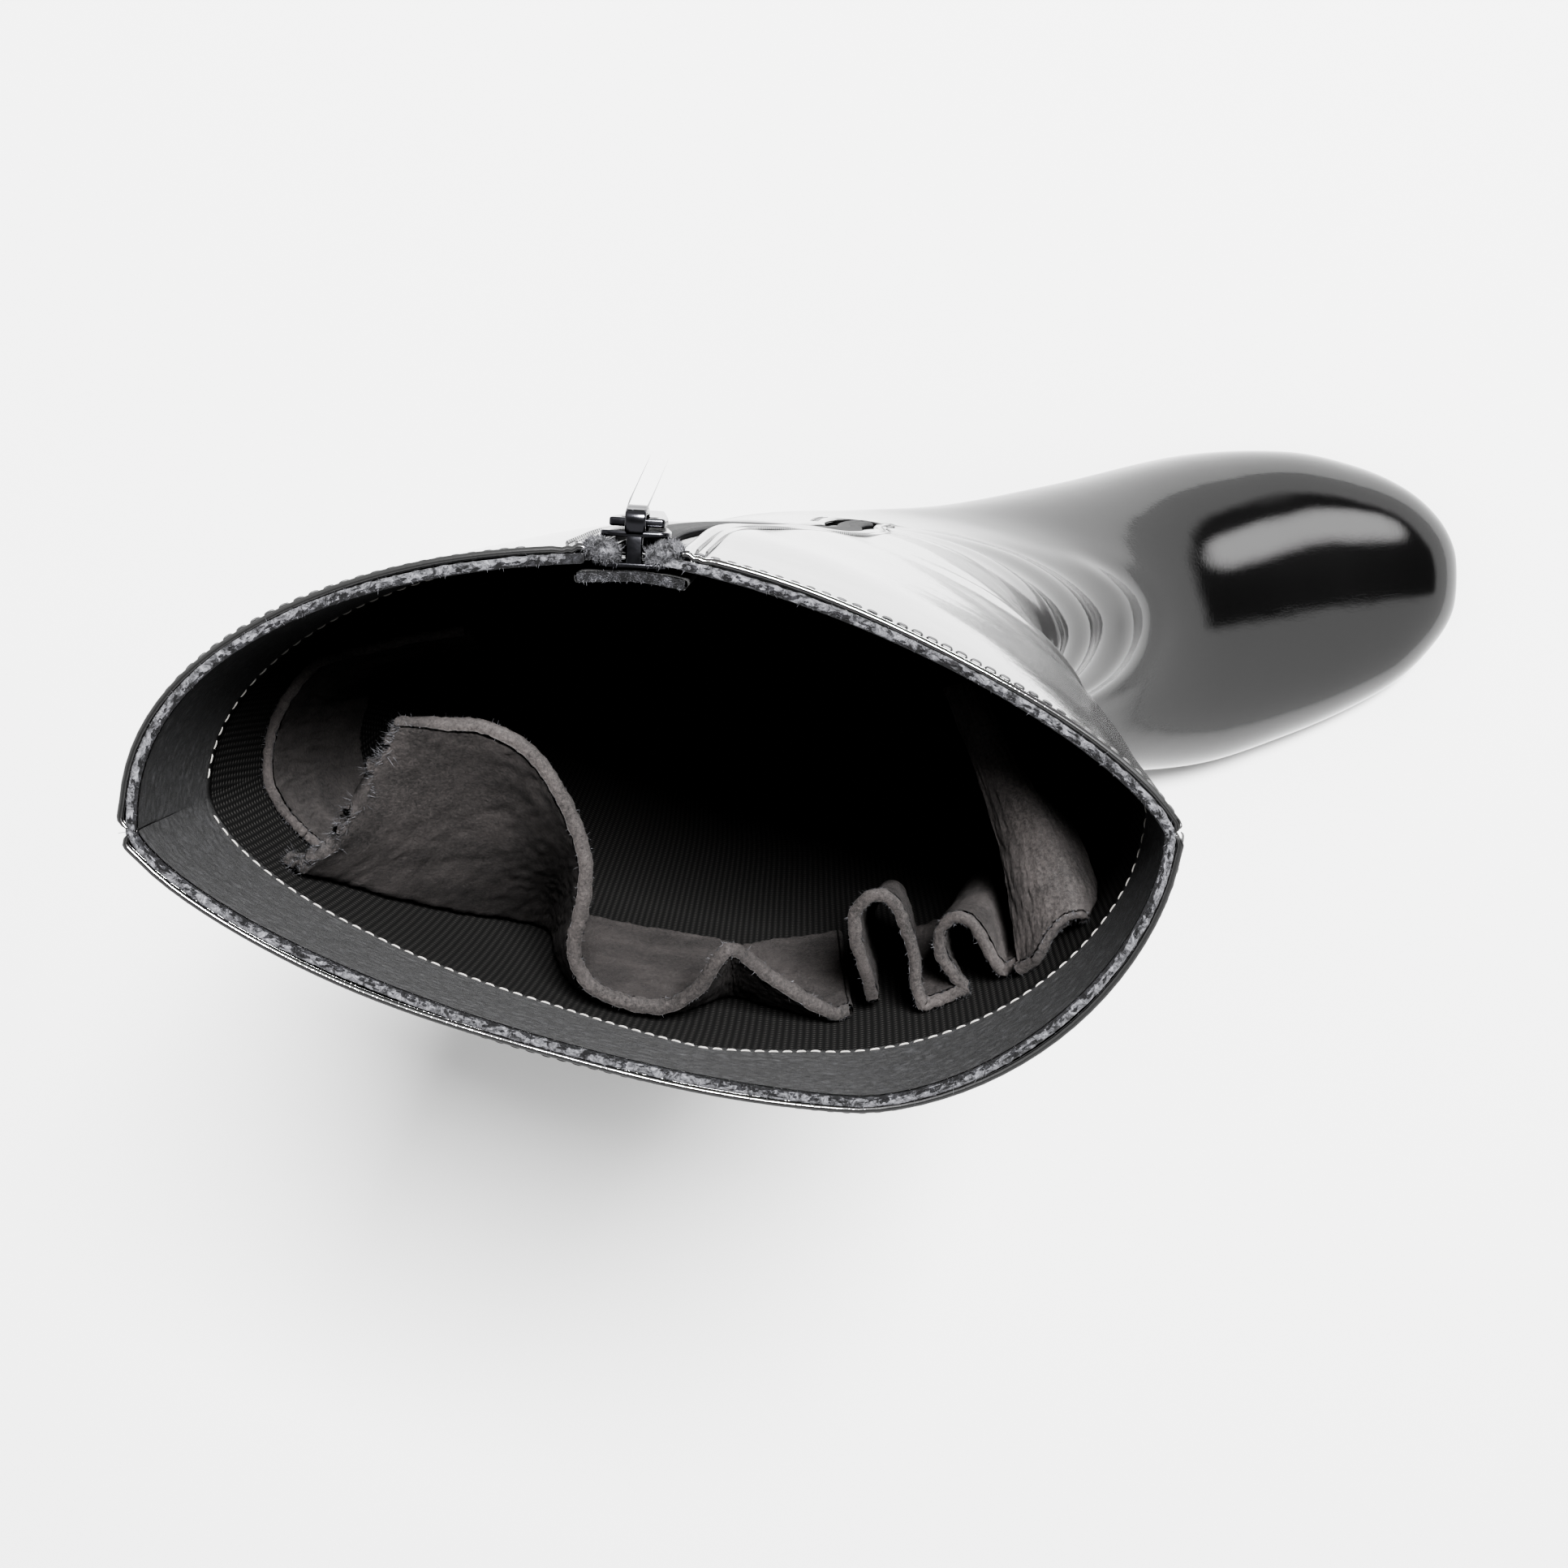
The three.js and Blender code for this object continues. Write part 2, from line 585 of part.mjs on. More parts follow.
// Pull: a crossbar under the bridge, two arms round it and a tapered tab that hangs plumb.
function zipPull() {
  const [half, bar, tip] = [pullWidth / 2, pullThickness / 2, pullTip / 2];
  const windowEnd = -bar - pullWindow;
  const shape = new THREE.Shape();
  shape.moveTo(half, bar);
  shape.lineTo(-half, bar);
  shape.lineTo(-half, windowEnd);
  shape.lineTo(-tip, tip - pullLength);
  shape.absarc(0, tip - pullLength, tip, Math.PI, 2 * Math.PI);
  shape.lineTo(half, windowEnd);
  const opening = new THREE.Path();
  opening.moveTo(pullArm - half, -bar);
  opening.lineTo(half - pullArm, -bar);
  opening.lineTo(half - pullArm, windowEnd + pullArm);
  opening.lineTo(pullArm - half, windowEnd + pullArm);
  shape.holes.push(opening);
  const place = sliderPlace(true).setPosition(pullHinge);
  return solid(extruded(shape, -bar, bar)).transform(place.elements);
}

const finishes = {
  patent: { color: 0x0b0b0c, roughness: 0.08, metalness: 0 },
  lining: { color: 0x242426, roughness: 0.95, metalness: 0 },
  sole: { color: 0x161616, roughness: 0.55, metalness: 0 },
  rubber: { color: 0x121212, roughness: 0.8, metalness: 0 },
  tape: { color: 0x1a1a1b, roughness: 0.9, metalness: 0 },
  nylon: { color: 0x111112, roughness: 0.35, metalness: 0 },
  gunmetal: { color: 0x4a4a4e, roughness: 0.15, metalness: 1 },
};

function piece(name, body, finish) {
  const { vertProperties, triVerts, numProp } = body.getMesh();
  const geometry = new THREE.BufferGeometry();
  const positions = Array.from({ length: vertProperties.length / numProp }, (_, i) => {
    return [...vertProperties.slice(i * numProp, i * numProp + 3)];
  });
  geometry.setAttribute("position", new THREE.Float32BufferAttribute(positions.flat(), 3));
  geometry.setIndex([...triVerts]);
  geometry.computeVertexNormals();
  const mesh = new THREE.Mesh(geometry, new THREE.MeshStandardMaterial(finishes[finish]));
  mesh.name = name;
  return mesh;
}

const [backTape, frontTape] = zipTapes();
const boot = new THREE.Group();
boot.add(
  piece("upper", upper(), "patent"),
  piece("insole", insole(), "lining"),
  piece("outsole", outsole(), "sole"),
  piece("heel", heel(), "patent"),
  piece("heel_top_piece", topPiece(), "rubber"),
  piece("zip_tape_back", backTape, "tape"),
  piece("zip_tape_front", frontTape, "tape"),
  piece("zip_chain", zipChain(), "nylon"),
  piece("zip_guard", zipGuard(), "lining"),
  piece("zip_slider", zipSlider(), "gunmetal"),
  piece("zip_pull", zipPull(), "gunmetal"),
);

export default boot;
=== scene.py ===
from math import acos, cos, pi, radians, sin, tau

import bmesh
import bpy
import numpy as np
from mathutils import Matrix, Vector


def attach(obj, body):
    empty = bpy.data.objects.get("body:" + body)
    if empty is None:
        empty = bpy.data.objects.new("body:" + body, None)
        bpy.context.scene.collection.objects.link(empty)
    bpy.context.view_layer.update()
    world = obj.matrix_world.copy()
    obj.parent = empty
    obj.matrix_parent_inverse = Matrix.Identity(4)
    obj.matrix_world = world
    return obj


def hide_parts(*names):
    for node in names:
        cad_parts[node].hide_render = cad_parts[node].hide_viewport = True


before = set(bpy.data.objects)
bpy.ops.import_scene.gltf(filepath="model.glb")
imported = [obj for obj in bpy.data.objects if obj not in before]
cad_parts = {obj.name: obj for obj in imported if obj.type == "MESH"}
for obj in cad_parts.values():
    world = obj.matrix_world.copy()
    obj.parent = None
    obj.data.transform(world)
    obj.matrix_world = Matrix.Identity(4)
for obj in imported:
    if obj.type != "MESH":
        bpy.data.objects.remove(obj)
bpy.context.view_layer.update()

# Right-foot knee boot in black patent leather, seen from above the collar. Every length is in millimetres and
# turned to metres where a mesh is made. +X runs to the toe, +Y to the inner side, +Z up.
MM = 0.001
up_way = np.array([0.0, 0.0, 1.0])

# Camera: place, turns about X, Y and Z, and focal length in pixels of the 1932-pixel frame.
camera_place = np.array([33.388, 55.041, 810.354])
camera_turns = (-0.131681, 0.032481, -0.0048176)
camera_focal = 3307.15
frame_width = 1932

# Last and leg, as in the CAD model.
foot_length = 246.0
heel_overhang = 40.0
ball_width = 92.0
heel_rise = 64.0
toe_spring = 7.0
ankle_height = 100.0
ankle_depth = 104.0
ankle_width = 65.0
ankle_back = 32.0
collar_height = 455.0
collar_depth = 143.5
collar_width = 77.4
collar_back = 68.5
collar_sway = 1.3
ankle_level = heel_rise + ankle_height

# Walls and clearances.
wall = 2.2
leather = 1.0
gap = 0.3
sole_thickness = 4.0
sole_inset = 0.4
top_piece_thickness = 5.5

# Heel block.
heel_breast = 36.0
breast_hollow = 3.0
heel_taper = 0.78
heel_sweep = 2.0
heel_curve = 1.5

# Zip and slider.
zip_opening = 13.0
zip_bottom = 100.0
zip_share_top = 0.51
zip_share_foot = 0.42
zip_straight = 0.75
tape_width = 24.0
guard_width = 15.5
guard_thickness = 1.4
guard_length = 330.0
guard_bow_length = 35.0
slider_width = 9.4
slider_length = 11.5
slider_tail = 0.76
slider_drop = 1.0
plate_thickness = 0.8
plate_rise = 0.9
post_width = 2.2
bridge_width = 2.8
bridge_height = 2.9
bridge_length = 7.0
bridge_bar = 1.0
pull_width = 7.5
pull_length = 31.0
pull_tip = 2.9
pull_thickness = 1.2
pull_arm = 1.3
pull_window = 5.2
pull_seat = 1.0

# Footbed height: share of the foot's length, share of the rise.
footbed_rows = np.array([
    [-0.1, 1.12], [0.0, 1.08], [0.1, 1.04], [0.2, 0.96], [0.3, 0.8], [0.4, 0.57],
    [0.5, 0.32], [0.58, 0.14], [0.66, 0.025], [0.72, 0.0], [0.84, 0.0], [1.1, 0.0],
])
tread_end = 0.84

# Leg sections: up, lean, swell, spread, sway, widest in, widest out, roundness of the four quarters.
leg_rows = np.array([
    [1.0, 1.0, 1.0, 1.0, 1.0, 0.514, 0.3, 1.39, 1.75, 2.25, 1.47],
    [0.94, 0.99, 0.99, 1.05, 1.0, 0.512, 0.32, 1.44, 1.8, 2.15, 1.57],
    [0.83, 0.95, 0.96, 1.12, 0.9, 0.505, 0.37, 1.47, 1.9, 2.05, 1.72],
    [0.66, 0.82, 0.85, 1.0, 0.7, 0.5, 0.44, 1.47, 2.0, 2.0, 1.9],
    [0.47, 0.55, 0.6, 0.73, 0.4, 0.5, 0.48, 1.51, 2.0, 2.0, 2.0],
    [0.3, 0.24, 0.3, 0.45, 0.2, 0.5, 0.5, 1.6, 2.0, 2.0, 2.0],
    [0.15, 0.06, 0.08, 0.2, 0.08, 0.5, 0.5, 1.8, 2.0, 2.0, 2.0],
    [0.0, 0.0, 0.0, 0.0, 0.0, 0.5, 0.5, 2.0, 2.0, 2.0, 2.1],
])

# Foot sections: top along, top up, low along, low up, inner, outer, widest, crown, base, sway.
foot_rows = np.array([
    [0.463, 0.72, 0.016, 0.66, 0.35, 0.355, 0.52, 2.0, 2.1, 0.0],
    [0.483, 0.5, 0.0, 0.39, 0.35, 0.36, 0.55, 2.0, 2.1, 0.0],
    [0.515, 0.3, -0.003, 0.14, 0.35, 0.365, 0.58, 2.0, 2.1, 0.0],
    [0.552, 0.145, 0.01, -0.09, 0.355, 0.37, 0.6, 2.0, 2.2, 0.0],
    [0.592, 0.03, 0.1, -0.12, 0.355, 0.385, 0.6, 2.0, 2.3, 0.0],
    [0.637, 0.025, 0.27, -0.1, 0.37, 0.43, 0.6, 2.0, 2.5, 0.0],
    [0.69, 0.165, 0.44, -0.09, 0.42, 0.49, 0.6, 2.05, 2.6, 0.01],
    [0.752, 0.33, 0.62, -0.08, 0.48, 0.51, 0.6, 2.1, 2.6, 0.03],
    [0.817, 0.315, 0.77, -0.08, 0.465, 0.45, 0.6, 2.15, 2.6, 0.055],
    [0.882, 0.262, 0.865, -0.08, 0.4, 0.38, 0.6, 2.2, 2.5, 0.075],
    [0.935, 0.195, 0.93, -0.07, 0.315, 0.3, 0.58, 2.2, 2.4, 0.09],
    [0.972, 0.125, 0.972, -0.05, 0.215, 0.2, 0.56, 2.1, 2.2, 0.1],
    [0.993, 0.06, 0.993, -0.01, 0.11, 0.105, 0.54, 2.0, 2.0, 0.105],
    [1.0, 0.0, 1.0, 0.0, 0.0, 0.0, 0.5, 2.0, 2.0, 0.107],
])


# Smooth curve through the rows of a table (Catmull-Rom), at parameters counted in rows.
def along_table(table, t):
    t = np.asarray(t, float)
    last = len(table) - 1
    i = np.clip(np.floor(t).astype(int), 0, last - 1)
    f = (t - i)[..., None]
    a, b, c, d = (table[np.clip(i + k, 0, last)] for k in (-1, 0, 1, 2))
    return b + 0.5 * f * (c - a + f * (2 * a - 5 * b + 4 * c - d + f * (3 * (b - c) + d - a)))


def smoothstep(value, low, high):
    f = np.clip((np.asarray(value, float) - low) / (high - low), 0, 1)
    return f * f * (3 - 2 * f)


def hump(value, middle, reach):
    return np.exp(-(((value - middle) / reach) ** 2))


def along_x(along):
    return along * foot_length - heel_overhang


# Height of the footbed at x.
def footbed(x):
    along = (np.asarray(x, float) + heel_overhang) / foot_length
    stops = footbed_rows[:, 0]
    i = np.clip(np.searchsorted(stops, along, side="right") - 1, 0, len(stops) - 2)
    t = i + (along - stops[i]) / (stops[i + 1] - stops[i])
    lift = np.maximum(along_table(footbed_rows[:, 1:], t)[..., 0], 0)
    toe = np.maximum(along - tread_end, 0) / (1 - tread_end)
    return sole_thickness + lift * (heel_rise - sole_thickness) + toe_spring * toe * toe


# Sections in millimetres: top x z, low x z, inner, outer, sway, widest in, widest out, four roundnesses.
def leg_sections():
    up, lean, swell, spread, sway = leg_rows[:, :5].T
    z = ankle_level + up * (collar_height - ankle_level)
    low = -ankle_back - lean * (collar_back - ankle_back)
    half = (ankle_width + spread * (collar_width - ankle_width)) / 2
    top = low + ankle_depth + swell * (collar_depth - ankle_depth)
    return np.column_stack([top, z, low, z, half, half, sway * collar_sway, leg_rows[:, 5:]])


def foot_sections():
    top, top_up, low, low_up, inner, outer, widest, crown, base, sway = foot_rows.T
    bed = footbed(along_x(low))
    sides = np.column_stack([inner, outer, sway]) * ball_width
    forms = np.column_stack([widest, widest, crown, crown, base, base])
    ends = [along_x(top), bed + top_up * ankle_height, along_x(low), bed + low_up * ankle_height]
    return np.column_stack([*ends, sides, forms])


sections = np.vstack([leg_sections(), foot_sections()])
last_row = len(sections) - 1


# Points of the boot's outside at row parameter t and angle: 0 is the front, positive the inner side.
def skin(t, angle):
    s = np.moveaxis(along_table(sections, t), -1, 0)
    c, across = np.cos(angle), np.sin(angle)
    is_in = across >= 0
    widest = np.where(is_in, s[7], s[8])
    front = np.where(is_in, s[9], s[10])
    roundness = np.where(c >= 0, front, np.where(is_in, s[11], s[12]))
    reach = np.abs(c) ** (2 / roundness)
    share = np.where(c >= 0, widest * (1 - reach), widest + (1 - widest) * reach)
    half = np.abs(across) ** (2 / roundness) * np.where(is_in, s[4], -s[5])
    return np.stack([s[0] + (s[2] - s[0]) * share, s[6] + half, s[1] + (s[3] - s[1]) * share], -1)


# How far back across the inner side the zip lies at a height: it leans forward up to its straight part.
def zip_share(height):
    straight = ankle_level + (collar_height - ankle_level) * zip_straight
    rise = float(smoothstep(height, ankle_level, straight))
    return zip_share_foot + (zip_share_top - zip_share_foot) * rise


# Angle of the zip's middle line on the inner side at row t.
def zip_angle(t):
    s = along_table(sections, t)
    return share_angle(s, zip_share(s[1]))


def share_angle(s, share):
    if share < s[7]:
        return acos((1 - share / s[7]) ** (s[9] / 2))
    return pi - acos(((share - s[7]) / (1 - s[7])) ** (s[11] / 2))


# Rings of the boot measured by arc length from the front line: negative on the outer side.
class Rings:
    fine = 1440

    def __init__(self, ts):
        self.ts = np.asarray(ts, float)
        angle = np.linspace(-pi, pi, self.fine + 1)
        self.points = skin(self.ts[:, None] + 0 * angle, angle[None, :] + 0 * self.ts[:, None])
        steps = np.linalg.norm(np.diff(self.points, axis=1), axis=2)
        arc = np.concatenate([np.zeros((len(self.ts), 1)), np.cumsum(steps, axis=1)], axis=1)
        front = self.fine // 2
        self.arc = arc - arc[:, front : front + 1]
        height = self.points[..., 2] - footbed(self.points[..., 0]) - gap
        self.start = self.crossing(height[:, front::-1], self.arc[:, front::-1])
        self.end = self.crossing(height[:, front:], self.arc[:, front:])
        self.closed = (self.start <= self.arc[:, 0] + 1e-6) & (self.end >= self.arc[:, -1] - 1e-6)
        self.zip = np.array([np.interp(zip_angle(t), angle, self.arc[i]) for i, t in enumerate(self.ts)])

    # Arc positions where the rings go down through the footbed, or their ends at the back seam.
    def crossing(self, height, arc):
        falls = (height[:, :-1] >= 0) & (height[:, 1:] < 0)
        k = falls.argmax(axis=1)
        rows = np.arange(len(height))
        above, below = height[rows, k], height[rows, k + 1]
        share = above / np.where(falls[rows, k], above - below, 1)
        met = arc[rows, k] + share * (arc[rows, k + 1] - arc[rows, k])
        return np.where(falls.any(axis=1), met, arc[:, -1])

    def at(self, arcs):
        rows = [[np.interp(arcs[i], self.arc[i], self.points[i, :, axis]) for axis in range(3)]
                for i in range(len(self.ts))]
        return np.transpose(np.array(rows), (0, 2, 1))


def unit(vectors):
    return vectors / np.maximum(np.linalg.norm(vectors, axis=-1, keepdims=True), 1e-9)


# Points and outward normals at arc positions (one row of positions for each t).
def surface(ts, arcs):
    ts = np.asarray(ts, float)
    rings = Rings(ts)
    points = rings.at(arcs)
    reach, step = 0.6, 0.03
    low = np.maximum(arcs - reach, rings.arc[:, :1])
    high = np.minimum(arcs + reach, rings.arc[:, -1:])
    around = rings.at(high) - rings.at(low)
    above, below = np.maximum(ts - step, 0), np.minimum(ts + step, last_row - 0.01)
    down = Rings(below).at(arcs) - Rings(above).at(arcs)
    return points, unit(np.cross(down, around)), rings


# The zip's own frame at row t: a point on the skin, and the directions back, up and outwards.
def zip_frame(t):
    step = 0.02
    share = zip_share(along_table(sections, t)[1])

    def point(row, part):
        return skin(np.array(row), np.array(share_angle(along_table(sections, row), part)))

    back = unit(point(t, share + step) - point(t, share - step))
    outward = unit(np.cross(back, point(t - step, share) - point(t + step, share)))
    return point(t, share), back, np.cross(outward, back), outward


# Row parameter at which the zip has a given height.
zip_parameters = np.linspace(-0.05, 12, 700)
zip_heights = np.array([zip_frame(t)[0][2] for t in zip_parameters])


def zip_row(height):
    return float(np.interp(-height, -zip_heights, zip_parameters))


# sRGB hex colour as linear RGBA.
def colour(code):
    parts = [int(code[i : i + 2], 16) / 255 for i in (1, 3, 5)]
    linear = [v / 12.92 if v <= 0.04045 else ((v + 0.055) / 1.055) ** 2.4 for v in parts]
    return (*linear, 1.0)


# Adds a node with its settings, and links or sets its inputs by name or number.
def node(tree, kind, settings=None, **inputs):
    made = tree.nodes.new(kind)
    for name, value in (settings or {}).items():
        setattr(made, name, value)
    for name, value in inputs.items():
        key = int(name[1:]) if name[0] == "_" and name[1:].isdigit() else name.replace("_", " ")
        socket = made.inputs[key]
        if isinstance(value, bpy.types.NodeSocket):
            tree.links.new(value, socket)
        else:
            socket.default_value = value
    return made


# A material with a principled shader and its tree, ready for detail.
def finish(name, base, **settings):
    material = bpy.data.materials.new(name)
    material.use_nodes = True
    shader = material.node_tree.nodes["Principled BSDF"]
    shader.inputs["Base Color"].default_value = colour(base)
    for key, value in settings.items():
        shader.inputs[key.replace("_", " ")].default_value = value
    return material, material.node_tree, shader


def per_mm(size):
    return 1 / (size * MM)


# Patent leather: calf coated with a thick clear lacquer. The coat gives mirror highlights, and the grain of
# the hide below it prints through as a faint net of creases.
def patent_leather():
    material, tree, shader = finish(
        "patent_leather_lacquered", "#050505", Roughness=0.35, IOR=1.5, Specular_IOR_Level=0.12,
        Coat_Weight=1.0, Coat_Roughness=0.06, Coat_IOR=1.65,
    )
    place = node(tree, "ShaderNodeTexCoord").outputs["Object"]
    grain = node(tree, "ShaderNodeTexVoronoi", {"feature": "DISTANCE_TO_EDGE"},
                 Vector=place, Scale=per_mm(1.1), Randomness=1.0).outputs["Distance"]
    creases = node(tree, "ShaderNodeMapRange", {}, Value=grain, From_Max=0.12).outputs["Result"]
    peel = node(tree, "ShaderNodeTexNoise", {}, Vector=place, Scale=per_mm(4.5), Detail=2.0,
                Roughness=0.5).outputs["Fac"]
    slack = node(tree, "ShaderNodeTexNoise", {}, Vector=place, Scale=per_mm(22.0), Detail=2.0).outputs["Fac"]
    bumped = node(tree, "ShaderNodeBump", {}, Height=creases, Strength=0.10, Distance=0.03 * MM).outputs[0]
    peeled = node(tree, "ShaderNodeBump", {}, Height=peel, Strength=0.5, Distance=0.035 * MM,
                  Normal=bumped).outputs[0]
    waved = node(tree, "ShaderNodeBump", {}, Height=slack, Strength=0.6, Distance=0.25 * MM,
                 Normal=peeled).outputs[0]
    tree.links.new(waved, shader.inputs["Normal"])
    tree.links.new(waved, shader.inputs["Coat Normal"])
    return material


# Needled felt: matted fibres, which scatter light and leave a speckle of paler ends.
def needled_felt(name, base, pale, speckle=0.45, bump=0.25):
    material, tree, shader = finish(name, base, Roughness=0.95, Sheen_Weight=0.03, Sheen_Roughness=0.5,
                                    Specular_IOR_Level=0.2)
    place = node(tree, "ShaderNodeTexCoord").outputs["Object"]
    mat = node(tree, "ShaderNodeTexNoise", {}, Vector=place, Scale=per_mm(1.5), Detail=6.0,
               Roughness=0.85, Distortion=0.8).outputs["Fac"]
    ends = node(tree, "ShaderNodeMapRange", {}, Value=mat, From_Min=1 - speckle - 0.08, From_Max=0.8)
    tone = node(tree, "ShaderNodeMix", {"data_type": "RGBA"}, Factor=ends.outputs["Result"], A=colour(base),
                B=colour(pale))
    tree.links.new(tone.outputs[2], shader.inputs["Base Color"])
    rough = node(tree, "ShaderNodeBump", {}, Height=mat, Strength=0.9, Distance=bump * MM).outputs[0]
    tree.links.new(rough, shader.inputs["Normal"])
    return material


# Ribbed knit lining: fine upright ribs 1.1 mm apart, matt.
def rib_knit():
    material, tree, shader = finish("ribbed_knit_lining", "#0a0a0a", Roughness=0.95, Specular_IOR_Level=0.15)
    flat = node(tree, "ShaderNodeUVMap", {"uv_map": "cloth"}).outputs["UV"]
    rib = node(tree, "ShaderNodeTexWave", {"bands_direction": "X"}, Vector=flat,
               Scale=per_mm(1.1) / (2 * pi) * 2, Distortion=0.3).outputs["Fac"]
    loops = node(tree, "ShaderNodeTexWave", {"bands_direction": "Y"}, Vector=flat,
                 Scale=per_mm(1.4) / (2 * pi) * 2, Distortion=0.3).outputs["Fac"]
    weave = node(tree, "ShaderNodeMath", {"operation": "MULTIPLY"}, _0=rib, _1=loops).outputs[0]
    tone = node(tree, "ShaderNodeMix", {"data_type": "RGBA"}, Factor=weave, A=colour("#0a0a0a"),
                B=colour("#2c2b2a"))
    tree.links.new(tone.outputs[2], shader.inputs["Base Color"])
    ribs = node(tree, "ShaderNodeBump", {}, Height=weave, Strength=0.8, Distance=0.3 * MM).outputs[0]
    tree.links.new(ribs, shader.inputs["Normal"])
    return material


# Brushed fleece: a knitted ground with its face teased up, dark warm grey, matt with a soft edge.
def brushed_fleece():
    material, tree, shader = finish("brushed_fleece", "#1a1818", Roughness=1.0, Sheen_Weight=0.04,
                                    Sheen_Roughness=0.6, Specular_IOR_Level=0.1)
    place = node(tree, "ShaderNodeTexCoord").outputs["Object"]
    nap = node(tree, "ShaderNodeTexNoise", {}, Vector=place, Scale=per_mm(0.6), Detail=6.0, Roughness=0.9,
               Distortion=0.4).outputs["Fac"]
    patches = node(tree, "ShaderNodeTexNoise", {}, Vector=place, Scale=per_mm(9.0), Detail=2.0).outputs["Fac"]
    both = node(tree, "ShaderNodeMath", {"operation": "MULTIPLY_ADD"}, _0=patches, _1=0.35, _2=nap).outputs[0]
    span = node(tree, "ShaderNodeMapRange", {}, Value=both, From_Min=0.5, From_Max=0.85).outputs["Result"]
    tone = node(tree, "ShaderNodeMix", {"data_type": "RGBA"}, Factor=span, A=colour("#0e0d0d"),
                B=colour("#454140"))
    tree.links.new(tone.outputs[2], shader.inputs["Base Color"])
    rough = node(tree, "ShaderNodeBump", {}, Height=nap, Strength=1.0, Distance=0.5 * MM).outputs[0]
    tree.links.new(rough, shader.inputs["Normal"])
    return material


# Spun polyester thread: two plies twisted, slightly lustrous.
def polyester_thread(name, base):
    material, tree, shader = finish(name, base, Roughness=0.55, Sheen_Weight=0.2)
    place = node(tree, "ShaderNodeTexCoord").outputs["Object"]
    twist = node(tree, "ShaderNodeTexWave", {"bands_direction": "DIAGONAL"}, Vector=place,
                 Scale=per_mm(0.5) / (2 * pi)).outputs["Fac"]
    plies = node(tree, "ShaderNodeBump", {}, Height=twist, Strength=0.5, Distance=0.08 * MM).outputs[0]
    tree.links.new(plies, shader.inputs["Normal"])
    return material


# Zinc die-casting plated in gunmetal: dark mirror with fine polishing marks.
def gunmetal_plate():
    material, tree, shader = finish("gunmetal_plated_zinc", "#39393c", Metallic=1.0, Roughness=0.14)
    place = node(tree, "ShaderNodeTexCoord").outputs["Object"]
    marks = node(tree, "ShaderNodeTexNoise", {}, Vector=place, Scale=per_mm(1.2), Detail=4.0).outputs["Fac"]
    tone = node(tree, "ShaderNodeMapRange", {}, Value=marks, To_Min=0.1, To_Max=0.24).outputs["Result"]
    tree.links.new(tone, shader.inputs["Roughness"])
    soft = node(tree, "ShaderNodeBump", {}, Height=marks, Strength=0.25, Distance=0.03 * MM).outputs[0]
    tree.links.new(soft, shader.inputs["Normal"])
    return material


# Nylon monofilament coil: smooth black plastic with a satin gloss.
def nylon_coil():
    material, tree, shader = finish("nylon_monofilament_coil", "#121213", Roughness=0.32, IOR=1.53)
    place = node(tree, "ShaderNodeTexCoord").outputs["Object"]
    dust = node(tree, "ShaderNodeTexNoise", {}, Vector=place, Scale=per_mm(0.7), Detail=2.0).outputs["Fac"]
    tone = node(tree, "ShaderNodeMapRange", {}, Value=dust, To_Min=0.25, To_Max=0.45).outputs["Result"]
    tree.links.new(tone, shader.inputs["Roughness"])
    return material


# Woven polyester tape: twill threads 0.5 mm apart, drawn at 0.7 mm so that they show.
def woven_tape():
    material, tree, shader = finish("woven_polyester_tape", "#1a1a1b", Roughness=0.85, Sheen_Weight=0.15)
    flat = node(tree, "ShaderNodeUVMap", {"uv_map": "cloth"}).outputs["UV"]
    twill = node(tree, "ShaderNodeTexWave", {"bands_direction": "DIAGONAL"}, Vector=flat,
                 Scale=per_mm(0.7) / (2 * pi), Distortion=0.4).outputs["Fac"]
    tone = node(tree, "ShaderNodeMix", {"data_type": "RGBA"}, Factor=twill, A=colour("#0f0f10"),
                B=colour("#2a2a2c"))
    tree.links.new(tone.outputs[2], shader.inputs["Base Color"])
    threads = node(tree, "ShaderNodeBump", {}, Height=twill, Strength=0.7, Distance=0.15 * MM).outputs[0]
    tree.links.new(threads, shader.inputs["Normal"])
    return material


# Moulded rubber: satin black with a fine sandblasted grain.
def moulded_rubber(name, base, roughness, grit):
    material, tree, shader = finish(name, base, Roughness=roughness, IOR=1.52)
    place = node(tree, "ShaderNodeTexCoord").outputs["Object"]
    sand = node(tree, "ShaderNodeTexNoise", {}, Vector=place, Scale=per_mm(grit), Detail=3.0).outputs["Fac"]
    scuffs = node(tree, "ShaderNodeTexNoise", {}, Vector=place, Scale=per_mm(14.0), Detail=5.0).outputs["Fac"]
    tone = node(tree, "ShaderNodeMapRange", {}, Value=scuffs, From_Min=0.35, From_Max=0.7,
                To_Min=roughness - 0.08, To_Max=roughness + 0.12).outputs["Result"]
    tree.links.new(tone, shader.inputs["Roughness"])
    grain = node(tree, "ShaderNodeBump", {}, Height=sand, Strength=0.4, Distance=0.12 * MM).outputs[0]
    tree.links.new(grain, shader.inputs["Normal"])
    return material


patent = patent_leather()
charcoal_felt = needled_felt("charcoal_needled_felt", "#080809", "#333336", 0.44)
raw_felt = needled_felt("raw_cut_felt_edge", "#121213", "#727276", 0.5, 0.4)
knit = rib_knit()
fleece = brushed_fleece()
pale_thread = polyester_thread("pale_polyester_thread", "#6c6a67")
black_thread = polyester_thread("black_polyester_thread", "#0e0e0f")
gunmetal = gunmetal_plate()
nylon = nylon_coil()
tape_cloth = woven_tape()
sole_rubber = moulded_rubber("moulded_sole_rubber", "#101011", 0.45, 0.7)
heel_rubber = moulded_rubber("moulded_top_piece_rubber", "#0c0c0d", 0.6, 0.5)


